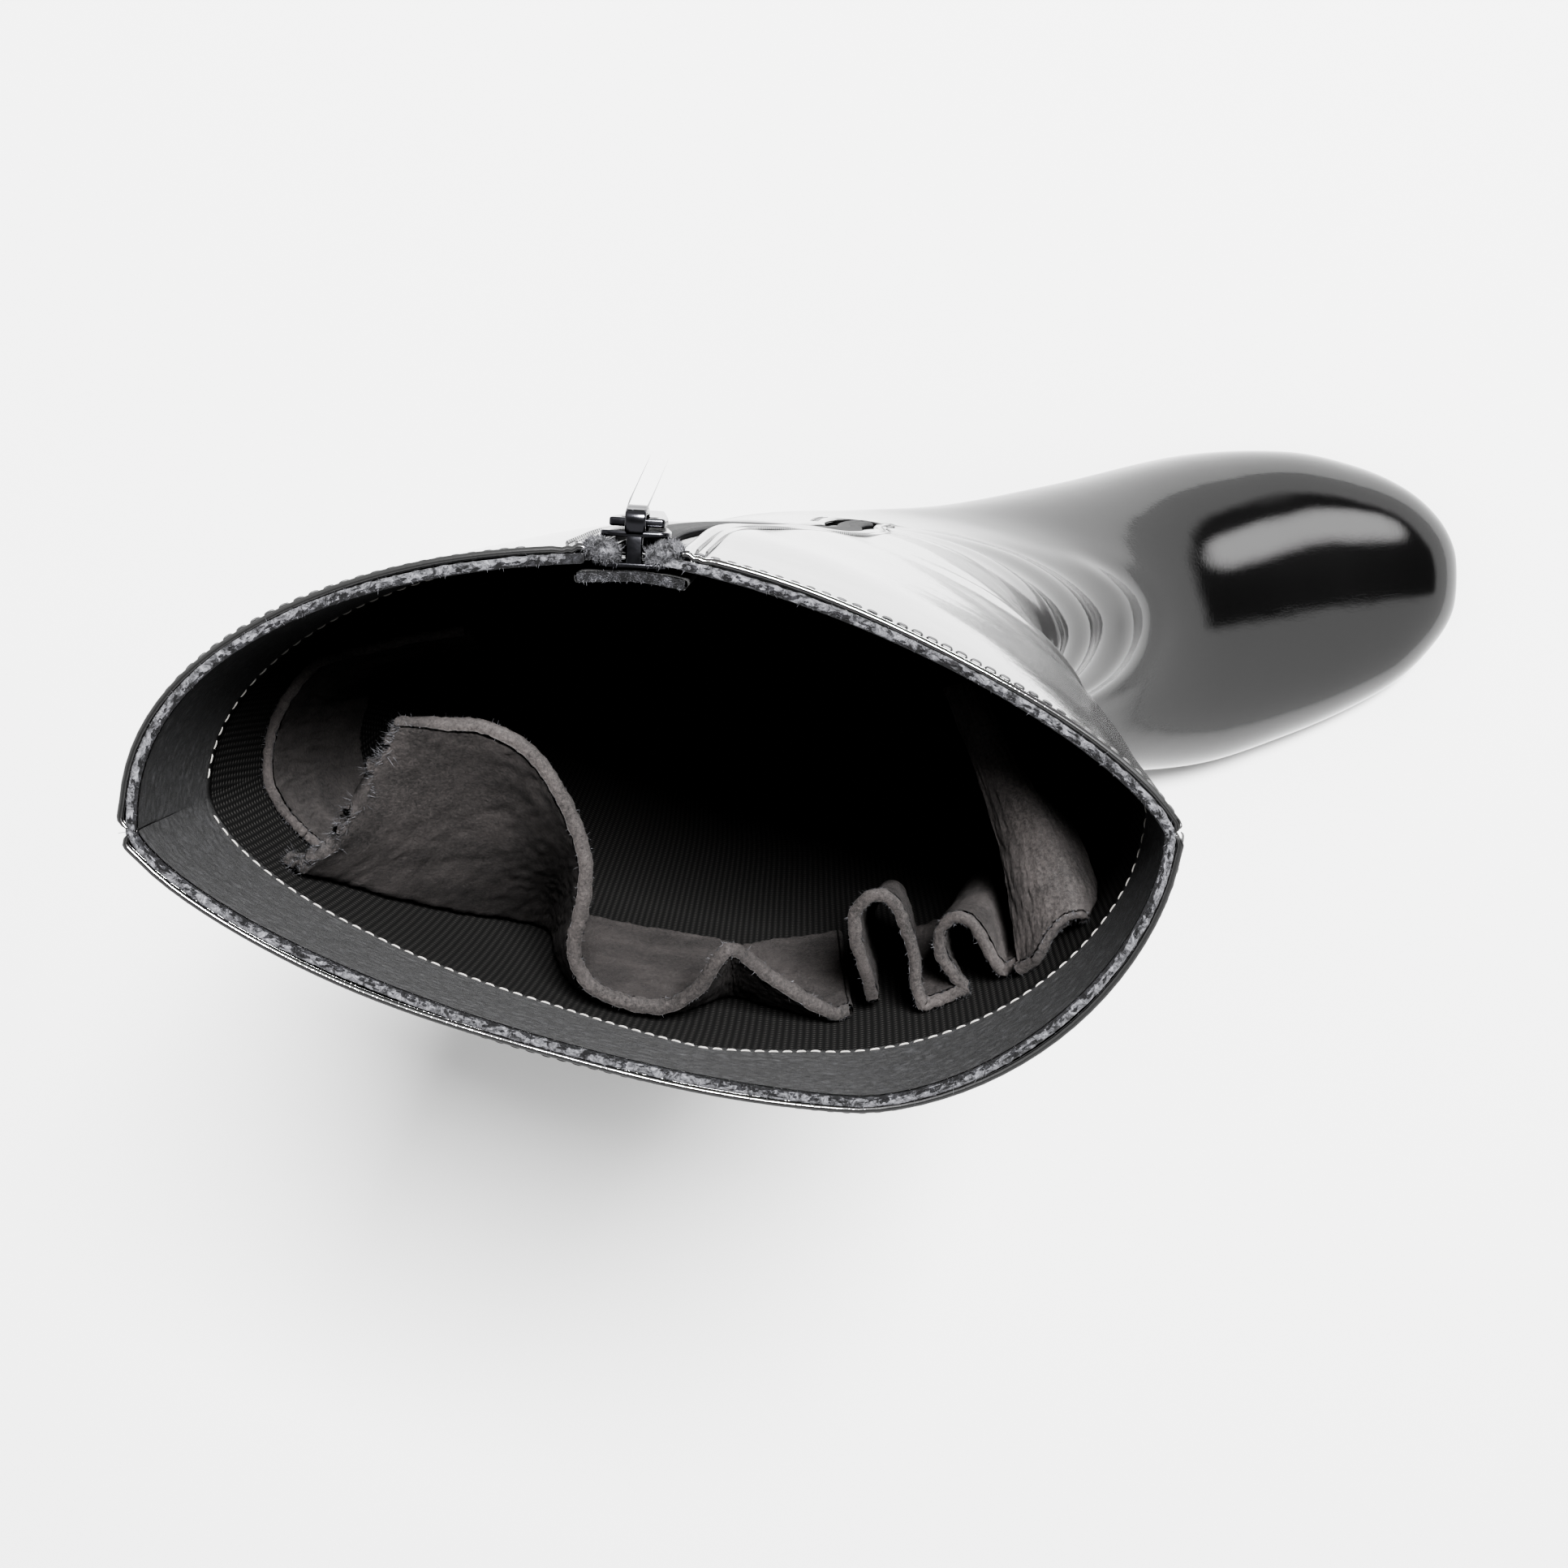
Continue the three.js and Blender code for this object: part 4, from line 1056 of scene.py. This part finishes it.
def slider_casting():
    cast = Casting()
    top, low, length = slider_width / 2, slider_width * slider_tail / 2, slider_length / 2
    outline = rounded([(-low, -length, 1.0), (low, -length, 1.0), (top, length / 3, 1.2), (top, length, 1.5),
                       (-top, length, 1.5), (-top, length / 3, 1.2)])
    for bottom in (plate_rise, -wall - gap - plate_thickness):
        points, faces = stamped([outline], plate_thickness, 0.24)
        cast.add(points + [0, 0, bottom + plate_thickness / 2], faces)
    # Flanges that close over the coils along both sides of the outer plate.
    for side in (-1, 1):
        rail = [(side * (top - 0.05), length - 2.0), (side * (top - 0.1), length / 3),
                (side * (low + 0.35), -length / 3), (side * low, 1.2 - length)]
        line = np.array([(x, y, plate_rise - 0.05) for x, y in rail])
        fine = np.stack([np.interp(np.linspace(0, 3, 13), range(4), line[:, k]) for k in range(3)], -1)
        fine -= [side * 0.35, 0, 0]
        grid = tube(fine, np.tile(up_way, (13, 1)), 0.42, 10)
        rows, sides = grid.shape[:2]
        faces = grid_faces(rows, sides, 0, True)
        cast.add(grid.reshape(-1, 3), faces + [tuple(range(sides))[::-1], tuple(range((rows - 1) * sides,
                                                                                       rows * sides))])
    # Post between the plates, pointed downwards where it parts the coils.
    shoulder = length - 2.25
    post = rounded([
        (-post_width / 2, length - 0.1, 0.3), (-post_width / 2, shoulder, 0.5), (0, length - 4.5, 0.3),
        (post_width / 2, shoulder, 0.5), (post_width / 2, length - 0.1, 0.3),
    ])
    depth = plate_rise + wall + gap + plate_thickness * 0.8
    points, faces = stamped([post[::-1]], depth, 0.15)
    cast.add(points + [0, 0, plate_rise + 0.4 * plate_thickness - depth / 2], faces)
    # Bridge: an arch from end to end of the plate whose crown swells in the middle.
    low_end, high_end = bridge_middle - bridge_length / 2, bridge_middle + bridge_length / 2
    foot, crown = plate_outside - 0.4, plate_outside + bridge_height
    swell = 0.55
    arch = rounded([
        (low_end, foot, 0), (low_end, crown - 0.5, 0.9), (low_end + 1.9, crown + swell * 0.4, 1.0),
        (high_end - 3.1, crown + swell, 1.0), (high_end - 1.3, crown, 0.8), (high_end, crown - 0.2, 0.9),
        (high_end, foot, 0), (high_end - bridge_bar, foot, 0), (high_end - bridge_bar, crown - bridge_bar, 0.5),
        (low_end + bridge_bar, crown - bridge_bar, 0.5), (low_end + bridge_bar, foot, 0),
    ])
    points, faces = stamped([arch[::-1]], bridge_width, 0.28)
    cast.add(points[:, [2, 0, 1]], faces)
    return cast.piece("slider_casting", in_slider, gunmetal, slot="gunmetal", replaces=("zip_slider",))


slider_casting()
pull_hinge_point = in_slider([0, bridge_middle, plate_outside + pull_seat])
pull_ways = slider_place(True)[1]


def pull_tab():
    cast = Casting()
    half, bar, tip = pull_width / 2, pull_thickness / 2, pull_tip / 2
    window_end = -bar - pull_window
    tip_middle = tip - pull_length
    end = [(tip * cos(a), tip_middle + tip * sin(a), 0) for a in np.linspace(pi, tau, 13)]
    outline = rounded([(half, bar, 0.5), (-half, bar, 0.5), (-half, window_end, 1.2), *end,
                       (half, window_end, 1.2)])
    edge = half - pull_arm
    window = rounded([(-edge, -bar, 0.4), (edge, -bar, 0.4), (edge, window_end + pull_arm, 0.6),
                      (-edge, window_end + pull_arm, 0.6)])
    points, faces = stamped([outline, window], pull_thickness, 0.3, 4)
    cast.add(points, faces)
    return cast.piece("pull_tab", lambda p: pull_hinge_point + p @ pull_ways, gunmetal, body="pull",
                      slot="gunmetal", replaces=("zip_pull",))


pull_tab()


# The feather line, where the upper meets the footbed, as an even outline from the heel round the outer side.
def feather_line(inset, count=220):
    rings = Rings(np.linspace(8, 20.985, 520))
    open_rows = ~rings.closed
    outer = rings.at(rings.start[:, None])[open_rows, 0]
    inner = rings.at(rings.end[:, None])[open_rows, 0]
    loop = np.vstack([outer, inner[::-1], outer[:1]])[:, :2]
    arc = np.concatenate([[0], np.cumsum(np.linalg.norm(np.diff(loop, axis=0), axis=1))])
    even = np.stack([np.interp(np.linspace(0, arc[-1], count + 1)[:-1], arc, loop[:, k]) for k in range(2)], -1)
    for _ in range(3):
        even = (np.roll(even, 1, axis=0) + 2 * even + np.roll(even, -1, axis=0)) / 4
    ahead = unit(np.roll(even, -1, axis=0) - np.roll(even, 1, axis=0))
    return even + inset * np.stack([-ahead[:, 1], ahead[:, 0]], -1)


# Rings from an outline in to its own middle line, for a cap whose height is a function of x.
def cap_rings(outline, height, shares=(0, 0.12, 0.3, 0.55, 0.8, 1)):
    x_low, x_high = outline[:, 0].min(), outline[:, 0].max()
    reach = (outline[:, 1].max() - outline[:, 1].min()) / 2
    x = np.clip(outline[:, 0], x_low + reach, x_high - reach)
    grid = np.linspace(x_low + 0.5, x_high - 0.5, 60)
    middle = []
    for g in grid:
        near = outline[np.abs(outline[:, 0] - g) < 4]
        middle.append((near[:, 1].max() + near[:, 1].min()) / 2)
    axis = np.stack([x, np.interp(x, grid, middle)], -1)
    rings = [outline + (axis - outline) * f for f in shares]
    return np.stack([np.column_stack([ring, height(ring[:, 0])]) for ring in rings])


outline_at = {inset: feather_line(inset) for inset in (sole_inset, 0.75, 1.4)}


def sole_underside(x):
    return footbed(x) - sole_thickness


# Outsole with a rounded top edge, an upright side and a bevelled bottom edge.
def walking_sole():
    levels = [(1.4, footbed, 0), (0.75, footbed, -0.12), (sole_inset, footbed, -0.6),
              (sole_inset, sole_underside, 0.9), (0.75, sole_underside, 0.25), (1.4, sole_underside, 0)]
    side = np.stack([np.column_stack([outline_at[inset], face(outline_at[inset][:, 0]) + rise])
                     for inset, face, rise in levels])
    sheets = Sheets()
    sheets.add(side, wrap=True)
    sheets.add(cap_rings(outline_at[1.4], footbed), wrap=True, flip=True)
    sheets.add(cap_rings(outline_at[1.4], sole_underside), wrap=True)
    return sheets.piece("walking_sole", sole_rubber, slot="sole", replaces=("outsole",))


walking_sole()


# Heel outline at the seat: the sole's outline behind the breast, closed by a hollow front.
def heel_outline():
    outline = outline_at[sole_inset]
    first = next(i for i in range(len(outline)) if outline[i, 0] < heel_breast <= outline[i - 1, 0])
    turned = np.roll(outline, -first, axis=0)
    round_part = turned[turned[:, 0] < heel_breast - 1.2]
    f = np.linspace(0, 1, 25)
    front = np.column_stack([heel_breast - breast_hollow * 4 * f * (1 - f),
                             round_part[-1, 1] + (round_part[0, 1] - round_part[-1, 1]) * f])
    loop = np.vstack([round_part, front])
    for _ in range(2):
        loop = (np.roll(loop, 1, axis=0) + 4 * loop + np.roll(loop, -1, axis=0)) / 6
    return loop


heel_form = heel_outline()


def heel_ring(z, inset=0.0):
    z = np.maximum(z, 0)
    rise = z / heel_rise
    size = heel_taper + (1 - heel_taper) * rise**heel_curve
    middle = (heel_breast - heel_overhang) / 2
    ahead = unit(np.roll(heel_form, -1, axis=0) - np.roll(heel_form, 1, axis=0))
    form = heel_form + inset * np.stack([-ahead[:, 1], ahead[:, 0]], -1)
    x = middle + (form[:, 0] - middle) * size + heel_sweep * (1 - rise)
    return np.column_stack([x, form[:, 1] * size, z + 0 * x])


# Heel block covered in the same leather, its top cut to the sole above it.
def covered_heel():
    shares = np.concatenate([[0, 0.004, 0.012, 0.03], np.linspace(0.06, 0.94, 22), [0.97, 0.988, 0.996, 1]])
    bottom = top_piece_thickness + gap
    levels = []
    for share in shares:
        edge = min(share, 1 - share) * 60
        inset = 0.6 * (1 - min(edge / 0.9, 1)) ** 2
        z = np.full(len(heel_form), bottom + share * 50)
        for _ in range(6):
            ring = heel_ring(z, inset)
            z = bottom + share * (sole_underside(ring[:, 0]) - gap - bottom)
        levels.append(heel_ring(z, inset))
    side = np.stack(levels)
    sheets = Sheets()
    sheets.solid(side)
    return sheets.piece("covered_heel", patent, slot="patent_leather", replaces=("heel",))


covered_heel()


# Rubber top piece with its edges eased.
def rubber_lift():
    levels = [(0.0, 0.8), (0.12, 0.35), (0.5, 0.0), (2.6, -0.12), (4.9, -0.05), (5.35, 0.15), (5.5, 0.5)]
    side = np.stack([heel_ring(np.full(len(heel_form), z), inset) for z, inset in levels])
    sheets = Sheets()
    sheets.solid(side)
    return sheets.piece("rubber_lift", heel_rubber, slot="top_piece", replaces=("heel_top_piece",))


rubber_lift()


edge_rows = np.full(420, leg_row(cut_level))
for part, low, high, count in (("front", -173.5, 80, 3600), ("back", 95, 173.5, 1100)):
    line, face = trail(edge_rows, np.linspace(low, high, len(edge_rows)))
    fibres(f"rim_fibres_{part}", line - face * (leather + 0.75) + up_way * 0.2, up_way + 0 * line, face, count,
           0.9, raw_felt, "lining", 7, spread=1.1)


# Raw felt strip along the rim: the cut top of the facing, paler than its faces.
def raw_edge():
    sheets = Sheets()
    for low, high in ((-174, 81), (94, 174)):
        arcs = np.linspace(low, high, 700 if low < 0 else 220)
        line, face = trail(np.full(len(arcs), leg_row(cut_level)), arcs)
        draw = np.random.default_rng(3)
        rough = draw.normal(0, 0.07, (len(arcs), 9))
        turn = np.linspace(-0.15 * pi, 1.15 * pi, 9)
        for k in range(9):
            rough[:, k] = np.convolve(rough[:, k], [0.25, 0.5, 0.25], "same")
        grid = (line - face * (leather + 0.72))[:, None] + face[:, None] * (
            (0.68 + rough) * np.cos(turn))[..., None] + up_way * ((0.42 + rough) * np.sin(turn))[..., None]
        sheets.add(grid)
    return sheets.piece("raw_felt_rim", raw_felt, slot="lining")


raw_edge()


# Point that the camera sees at a place in its frame, at a height above the floor.
def seen_at(across, down, height):
    turn = Matrix.Rotation(camera_turns[2], 3, "Z") @ Matrix.Rotation(camera_turns[1], 3, "Y")
    turn = turn @ Matrix.Rotation(camera_turns[0], 3, "X")
    way = np.array(turn @ Vector((across - frame_width / 2, frame_width / 2 - down, -camera_focal)))
    return camera_place + way * (height - camera_place[2]) / way[2]


# Points moved in, where they need it, to lie at least a margin inside the skin of the leg.
def kept_inside(grid, margin):
    flat = grid.reshape(-1, 3).copy()
    angle = np.linspace(-pi, pi, 241)
    rings = skin(leg_row(flat[:, 2])[:, None] + 0 * angle, angle[None, :] + 0 * flat[:, :1])[..., :2]
    near = np.linalg.norm(rings - flat[:, None, :2], axis=2).argmin(axis=1)
    rows = np.arange(len(flat))
    along = unit(rings[rows, (near + 1) % 240] - rings[rows, (near - 1) % 240])
    outward = np.stack([-along[:, 1], along[:, 0]], -1)
    outward *= np.sign((outward * (rings[rows, near] - rings.mean(axis=1))).sum(axis=1))[:, None]
    past = ((flat[:, :2] - rings[rows, near]) * outward).sum(axis=1) + margin
    flat[:, :2] -= outward * np.maximum(past, 0)[:, None]
    return flat.reshape(grid.shape)


# Loose cloth through a net of control points, given as rows of (across, down, height): smooth both ways, with
# its two faces, rolled fluffy edges, and an uneven nap.
def loose_cloth(name, net, thickness, spans, material, seed, ragged=None):
    control = np.array([[seen_at(*point) for point in row] for row in net])
    rows = np.linspace(0, len(net) - 1, (len(net) - 1) * spans[0] + 1)
    columns = np.linspace(0, len(net[0]) - 1, (len(net[0]) - 1) * spans[1] + 1)
    down = along_table(control.reshape(len(net), -1), rows).reshape(len(rows), -1, 3)
    grid = np.stack([along_table(row, columns) for row in down])
    draw = np.random.default_rng(seed)
    if ragged:
        cut = draw.uniform(0, 1, len(rows))
        cut = np.convolve(cut, [0.3, 0.4, 0.3], "same") ** 2 * ragged
        for j in range(4):
            grid[:, j] += (grid[:, 6] - grid[:, 0]) * 0.2 * (cut * (1 - j / 4))[:, None]
    grid = kept_inside(grid, wall + thickness / 2 + 0.5)
    ahead = np.gradient(grid, axis=1)
    face = unit(np.cross(ahead, np.gradient(grid, axis=0)))
    nap = draw.normal(0, 0.09, grid.shape[:2])
    nap = (nap + np.roll(nap, 1, 0) + np.roll(nap, 1, 1)) / 1.8
    near = grid + face * (thickness / 2 + nap)[..., None]
    far = grid - face * (thickness / 2 + np.roll(nap, 5, 1))[..., None]
    sheets = Sheets()
    sheets.add(near)
    sheets.add(far, flip=True)
    for row, step in ((0, 1), (-1, -2)):
        sheets.add(rolled_edge(near[row], far[row], unit(grid[row] - grid[row + step]), thickness * 0.4))
    for column, step in ((0, 1), (-1, -2)):
        away = unit(grid[:, column] - grid[:, column + step])
        sheets.add(rolled_edge(near[:, column], far[:, column], away, thickness * 0.4))
    cloth = sheets.piece(name, material, slot="lining")
    away = unit(grid[0] - grid[1])
    fibres(f"{name}_nap", grid[0] - away * 0.1, away, face[0], int(len(columns) * 26), 0.9, raw_felt,
           "lining", seed + 1, spread=thickness, lean=0.7)
    if ragged:
        side = unit(grid[:, 0] - grid[:, 3])
        fibres(f"{name}_ravel", grid[:, 0] - side * 0.2, side, face[:, 0], int(len(rows) * 30), 2.0, raw_felt,
               "lining", seed + 2, spread=thickness * 1.2, lean=0.5)
    return cloth


# Cut flap at the back of the leg: its upper edge runs in an S, and its left edge is ragged.
back_flap = [
    [(492, 889, 424), (550, 892, 427), (600, 897, 428), (658, 931, 428), (700, 997, 428), (721, 1060, 427),
     (717, 1118, 425), (707, 1168, 422), (722, 1208, 419), (762, 1232, 417), (815, 1240, 416),
     (858, 1220, 418), (888, 1178, 421), (908, 1172, 420), (952, 1205, 414), (1005, 1238, 409),
     (1048, 1256, 404)],
    [(452, 945, 418), (512, 958, 414), (570, 965, 412), (628, 993, 409), (672, 1036, 406),
     (702, 1080, 404), (703, 1130, 402), (697, 1172, 400), (715, 1215, 398), (760, 1238, 398),
     (815, 1247, 398), (862, 1230, 400), (892, 1205, 404), (912, 1205, 402), (952, 1228, 398),
     (1005, 1250, 394), (1048, 1262, 390)],
    [(398, 1040, 412), (455, 1045, 402), (522, 1042, 397), (588, 1058, 391), (644, 1080, 384),
     (684, 1100, 380), (692, 1142, 378), (690, 1178, 376), (708, 1220, 374), (758, 1243, 374),
     (815, 1252, 374), (866, 1240, 376), (896, 1228, 380), (916, 1230, 378), (952, 1244, 374),
     (1005, 1256, 372), (1048, 1264, 370)],
    [(326, 1088, 408), (392, 1102, 394), (472, 1112, 384), (556, 1120, 372), (620, 1128, 362),
     (664, 1140, 356), (680, 1162, 354), (684, 1188, 352), (704, 1226, 350), (756, 1246, 350),
     (815, 1255, 350), (868, 1246, 352), (900, 1240, 356), (918, 1242, 356), (952, 1250, 352),
     (1005, 1258, 350), (1048, 1264, 348)],
]

# Curtain of lining at the front, its cut edge gathered in three folds.
front_folds = [
    [(1076, 1232, 404), (1066, 1196, 410), (1055, 1158, 413), (1054, 1124, 414), (1074, 1104, 415),
     (1098, 1108, 415), (1114, 1138, 414), (1126, 1176, 413), (1130, 1218, 412), (1144, 1246, 411),
     (1172, 1254, 411), (1196, 1246, 411), (1196, 1224, 411), (1176, 1202, 411), (1160, 1176, 411),
     (1158, 1148, 412), (1178, 1130, 414), (1200, 1140, 414), (1222, 1178, 413), (1244, 1206, 412),
     (1264, 1210, 413), (1280, 1176, 415), (1298, 1144, 416), (1322, 1128, 416)],
    [(1080, 1232, 384), (1072, 1194, 390), (1062, 1156, 392), (1062, 1124, 393), (1080, 1104, 394),
     (1100, 1102, 394), (1114, 1130, 393), (1124, 1170, 392), (1128, 1210, 391), (1142, 1236, 391),
     (1170, 1243, 391), (1188, 1236, 391), (1190, 1218, 391), (1178, 1196, 391), (1166, 1170, 391),
     (1170, 1132, 392), (1196, 1108, 394), (1222, 1108, 394), (1242, 1140, 393), (1256, 1170, 392),
     (1270, 1180, 393), (1284, 1150, 395), (1300, 1124, 396), (1320, 1112, 396)],
    [(1086, 1226, 352), (1080, 1190, 356), (1072, 1152, 358), (1072, 1120, 358), (1088, 1098, 358),
     (1104, 1092, 358), (1116, 1118, 358), (1124, 1158, 358), (1128, 1196, 358), (1142, 1220, 358),
     (1168, 1226, 358), (1184, 1218, 358), (1188, 1204, 358), (1182, 1184, 358), (1176, 1156, 358),
     (1184, 1112, 358), (1210, 1078, 358), (1242, 1070, 358), (1258, 1096, 358), (1268, 1130, 358),
     (1276, 1146, 358), (1288, 1120, 358), (1302, 1096, 358), (1318, 1086, 358)],
]

# Flat flap beside the front seam, folded down into the leg.
front_flap = [
    [(1264, 1208, 417), (1282, 1174, 420), (1300, 1142, 421), (1326, 1126, 421), (1352, 1140, 419),
     (1378, 1172, 418)],
    [(1252, 1130, 411), (1270, 1112, 415), (1292, 1096, 417), (1318, 1090, 417), (1342, 1104, 415),
     (1362, 1130, 413)],
    [(1236, 1040, 405), (1250, 1030, 409), (1270, 1022, 411), (1290, 1020, 411), (1310, 1026, 409),
     (1326, 1038, 406)],
    [(1204, 940, 398), (1216, 936, 401), (1232, 932, 403), (1248, 932, 403), (1264, 936, 401),
     (1278, 942, 398)],
    [(1168, 850, 390), (1178, 848, 392), (1192, 846, 393), (1206, 846, 393), (1220, 850, 392),
     (1232, 856, 390)],
]

# Lining that stands loose against the back of the leg.
back_lining = [
    [(572, 776, 391), (466, 796, 393), (380, 822, 394), (334, 860, 394), (318, 914, 393), (318, 970, 392),
     (322, 1026, 391), (336, 1060, 390), (366, 1078, 389)],
    [(584, 790, 372), (490, 812, 374), (418, 842, 375), (378, 876, 375), (362, 918, 374), (360, 970, 373),
     (366, 1016, 372), (380, 1044, 371), (408, 1064, 370)],
    [(600, 800, 346), (520, 822, 346), (462, 846, 346), (430, 878, 346), (418, 920, 346), (418, 964, 346),
     (424, 1000, 346), (438, 1024, 346), (466, 1040, 346)],
]

for name, net, thickness, spans, seed, ragged, held, flat, area in (
    ("fleece_back_flap", back_flap, 2.2, (14, 12), 11, 6.0, "folded", (0.075, 0.165), 0.0071),
    ("fleece_front_folds", front_folds, 1.9, (14, 9), 21, None, "gathered", (0.060, 0.115), 0.0051),
    ("fleece_front_flap", front_flap, 1.7, (10, 14), 31, None, "folded", (0.028, 0.062), 0.0011),
    ("fleece_back_lining", back_lining, 1.6, (14, 14), 41, None, "hung", (0.052, 0.078), 0.0033),
):
    cloth = loose_cloth(name, net, thickness, spans, fleece, seed, ragged)

insole_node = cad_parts["insole"]
insole_node.data.materials.clear()
insole_node.data.materials.append(charcoal_felt)


# Brightness of the studio: its walls, its ceiling, the soft light seen in the toe, and the key light's watts.
wall_light = 1.45
ceiling_light = 0.45
soft_light = 4.5
key_watts = 235.0


# Studio: pale floor, white surroundings that darken overhead, one large softbox towards the toe and inner side.
def studio():
    bpy.ops.mesh.primitive_plane_add(size=3.2, location=(0.0, 0.0, -0.0004))
    floor = bpy.context.object
    floor.name = "studio_floor"
    material, tree, shader = finish("matt_studio_board", "#a8a8a8", Roughness=0.9)
    place = node(tree, "ShaderNodeTexCoord").outputs["Object"]
    mottle = node(tree, "ShaderNodeTexNoise", {}, Vector=place, Scale=3.0, Detail=3.0).outputs["Fac"]
    tone = node(tree, "ShaderNodeMix", {"data_type": "RGBA"}, Factor=mottle, A=colour("#a7a7a7"),
                B=colour("#a9a9a9")).outputs[2]
    tree.links.new(tone, shader.inputs["Base Color"])
    floor.data.materials.append(material)

    world = bpy.data.worlds.new("studio_surround")
    bpy.context.scene.world = world
    world.use_nodes = True
    tree = world.node_tree
    way = node(tree, "ShaderNodeTexCoord").outputs["Generated"]
    parts = node(tree, "ShaderNodeSeparateXYZ", {}, Vector=way)
    azimuth = node(tree, "ShaderNodeMath", {"operation": "ARCTAN2"}, _0=parts.outputs["Y"],
                   _1=parts.outputs["X"])
    walls = node(tree, "ShaderNodeMapRange", {"interpolation_type": "SMOOTHSTEP"}, Value=parts.outputs["Z"],
                 From_Min=sin(radians(50)), From_Max=sin(radians(75)), To_Min=wall_light, To_Max=ceiling_light)
    # Black flag over the toe on the inner side, with a soft light in front of it.
    flag = 1.0
    for way_part, start, end, first in (
        (parts.outputs["Z"], sin(radians(18)), sin(radians(22.5)), 0.0),
        (parts.outputs["Z"], sin(radians(54)), sin(radians(64)), 1.0),
        (azimuth.outputs[0], radians(-10), radians(-6), 0.0),
        (azimuth.outputs[0], radians(56), radians(67), 1.0),
    ):
        edge = node(tree, "ShaderNodeMapRange", {}, Value=way_part, From_Min=start, From_Max=end, To_Min=first,
                    To_Max=1 - first).outputs["Result"]
        flag = node(tree, "ShaderNodeMath", {"operation": "MULTIPLY"}, _0=flag, _1=edge).outputs[0]
    shade = node(tree, "ShaderNodeMath", {"operation": "SUBTRACT"}, _0=1.0, _1=flag).outputs[0]
    field = node(tree, "ShaderNodeMath", {"operation": "MULTIPLY"}, _0=walls.outputs["Result"],
                 _1=shade).outputs[0]
    turn, rise = radians(36), radians(36)
    middle = [cos(rise) * cos(turn), cos(rise) * sin(turn), sin(rise)]
    toward = node(tree, "ShaderNodeVectorMath", {"operation": "DOT_PRODUCT"}, _0=way, _1=middle)
    glow = node(tree, "ShaderNodeMapRange", {"interpolation_type": "SMOOTHSTEP"}, Value=toward.outputs["Value"],
                From_Min=cos(radians(14)), From_Max=cos(radians(4)), To_Max=soft_light)
    total = node(tree, "ShaderNodeMath", {"operation": "ADD"}, _0=field, _1=glow.outputs["Result"]).outputs[0]
    background = tree.nodes["Background"]
    tree.links.new(total, background.inputs["Strength"])
    background.inputs["Color"].default_value = (1.0, 1.0, 1.0, 1.0)

    lamp = bpy.data.lights.new("overhead_softbox", "AREA")
    lamp.shape = "SQUARE"
    lamp.size = 0.42
    lamp.energy = key_watts
    holder = bpy.data.objects.new("overhead_softbox", lamp)
    holder.location = (0.30, 0.60, 2.1)
    holder.rotation_euler = (Vector((0.03, 0.0, 0.2)) - holder.location).to_track_quat("-Z", "Y").to_euler()
    bpy.context.collection.objects.link(holder)

    lens = bpy.data.cameras.new("photo_camera")
    lens.sensor_fit = "HORIZONTAL"
    lens.sensor_width = 36.0
    lens.lens = 36.0 * camera_focal / frame_width
    camera = bpy.data.objects.new("photo_camera", lens)
    camera.location = camera_place * MM
    camera.rotation_euler = camera_turns
    bpy.context.collection.objects.link(camera)
    bpy.context.scene.camera = camera
    bpy.context.scene.view_settings.view_transform = "AgX"
    bpy.context.scene.view_settings.look = "AgX - High Contrast"


studio()
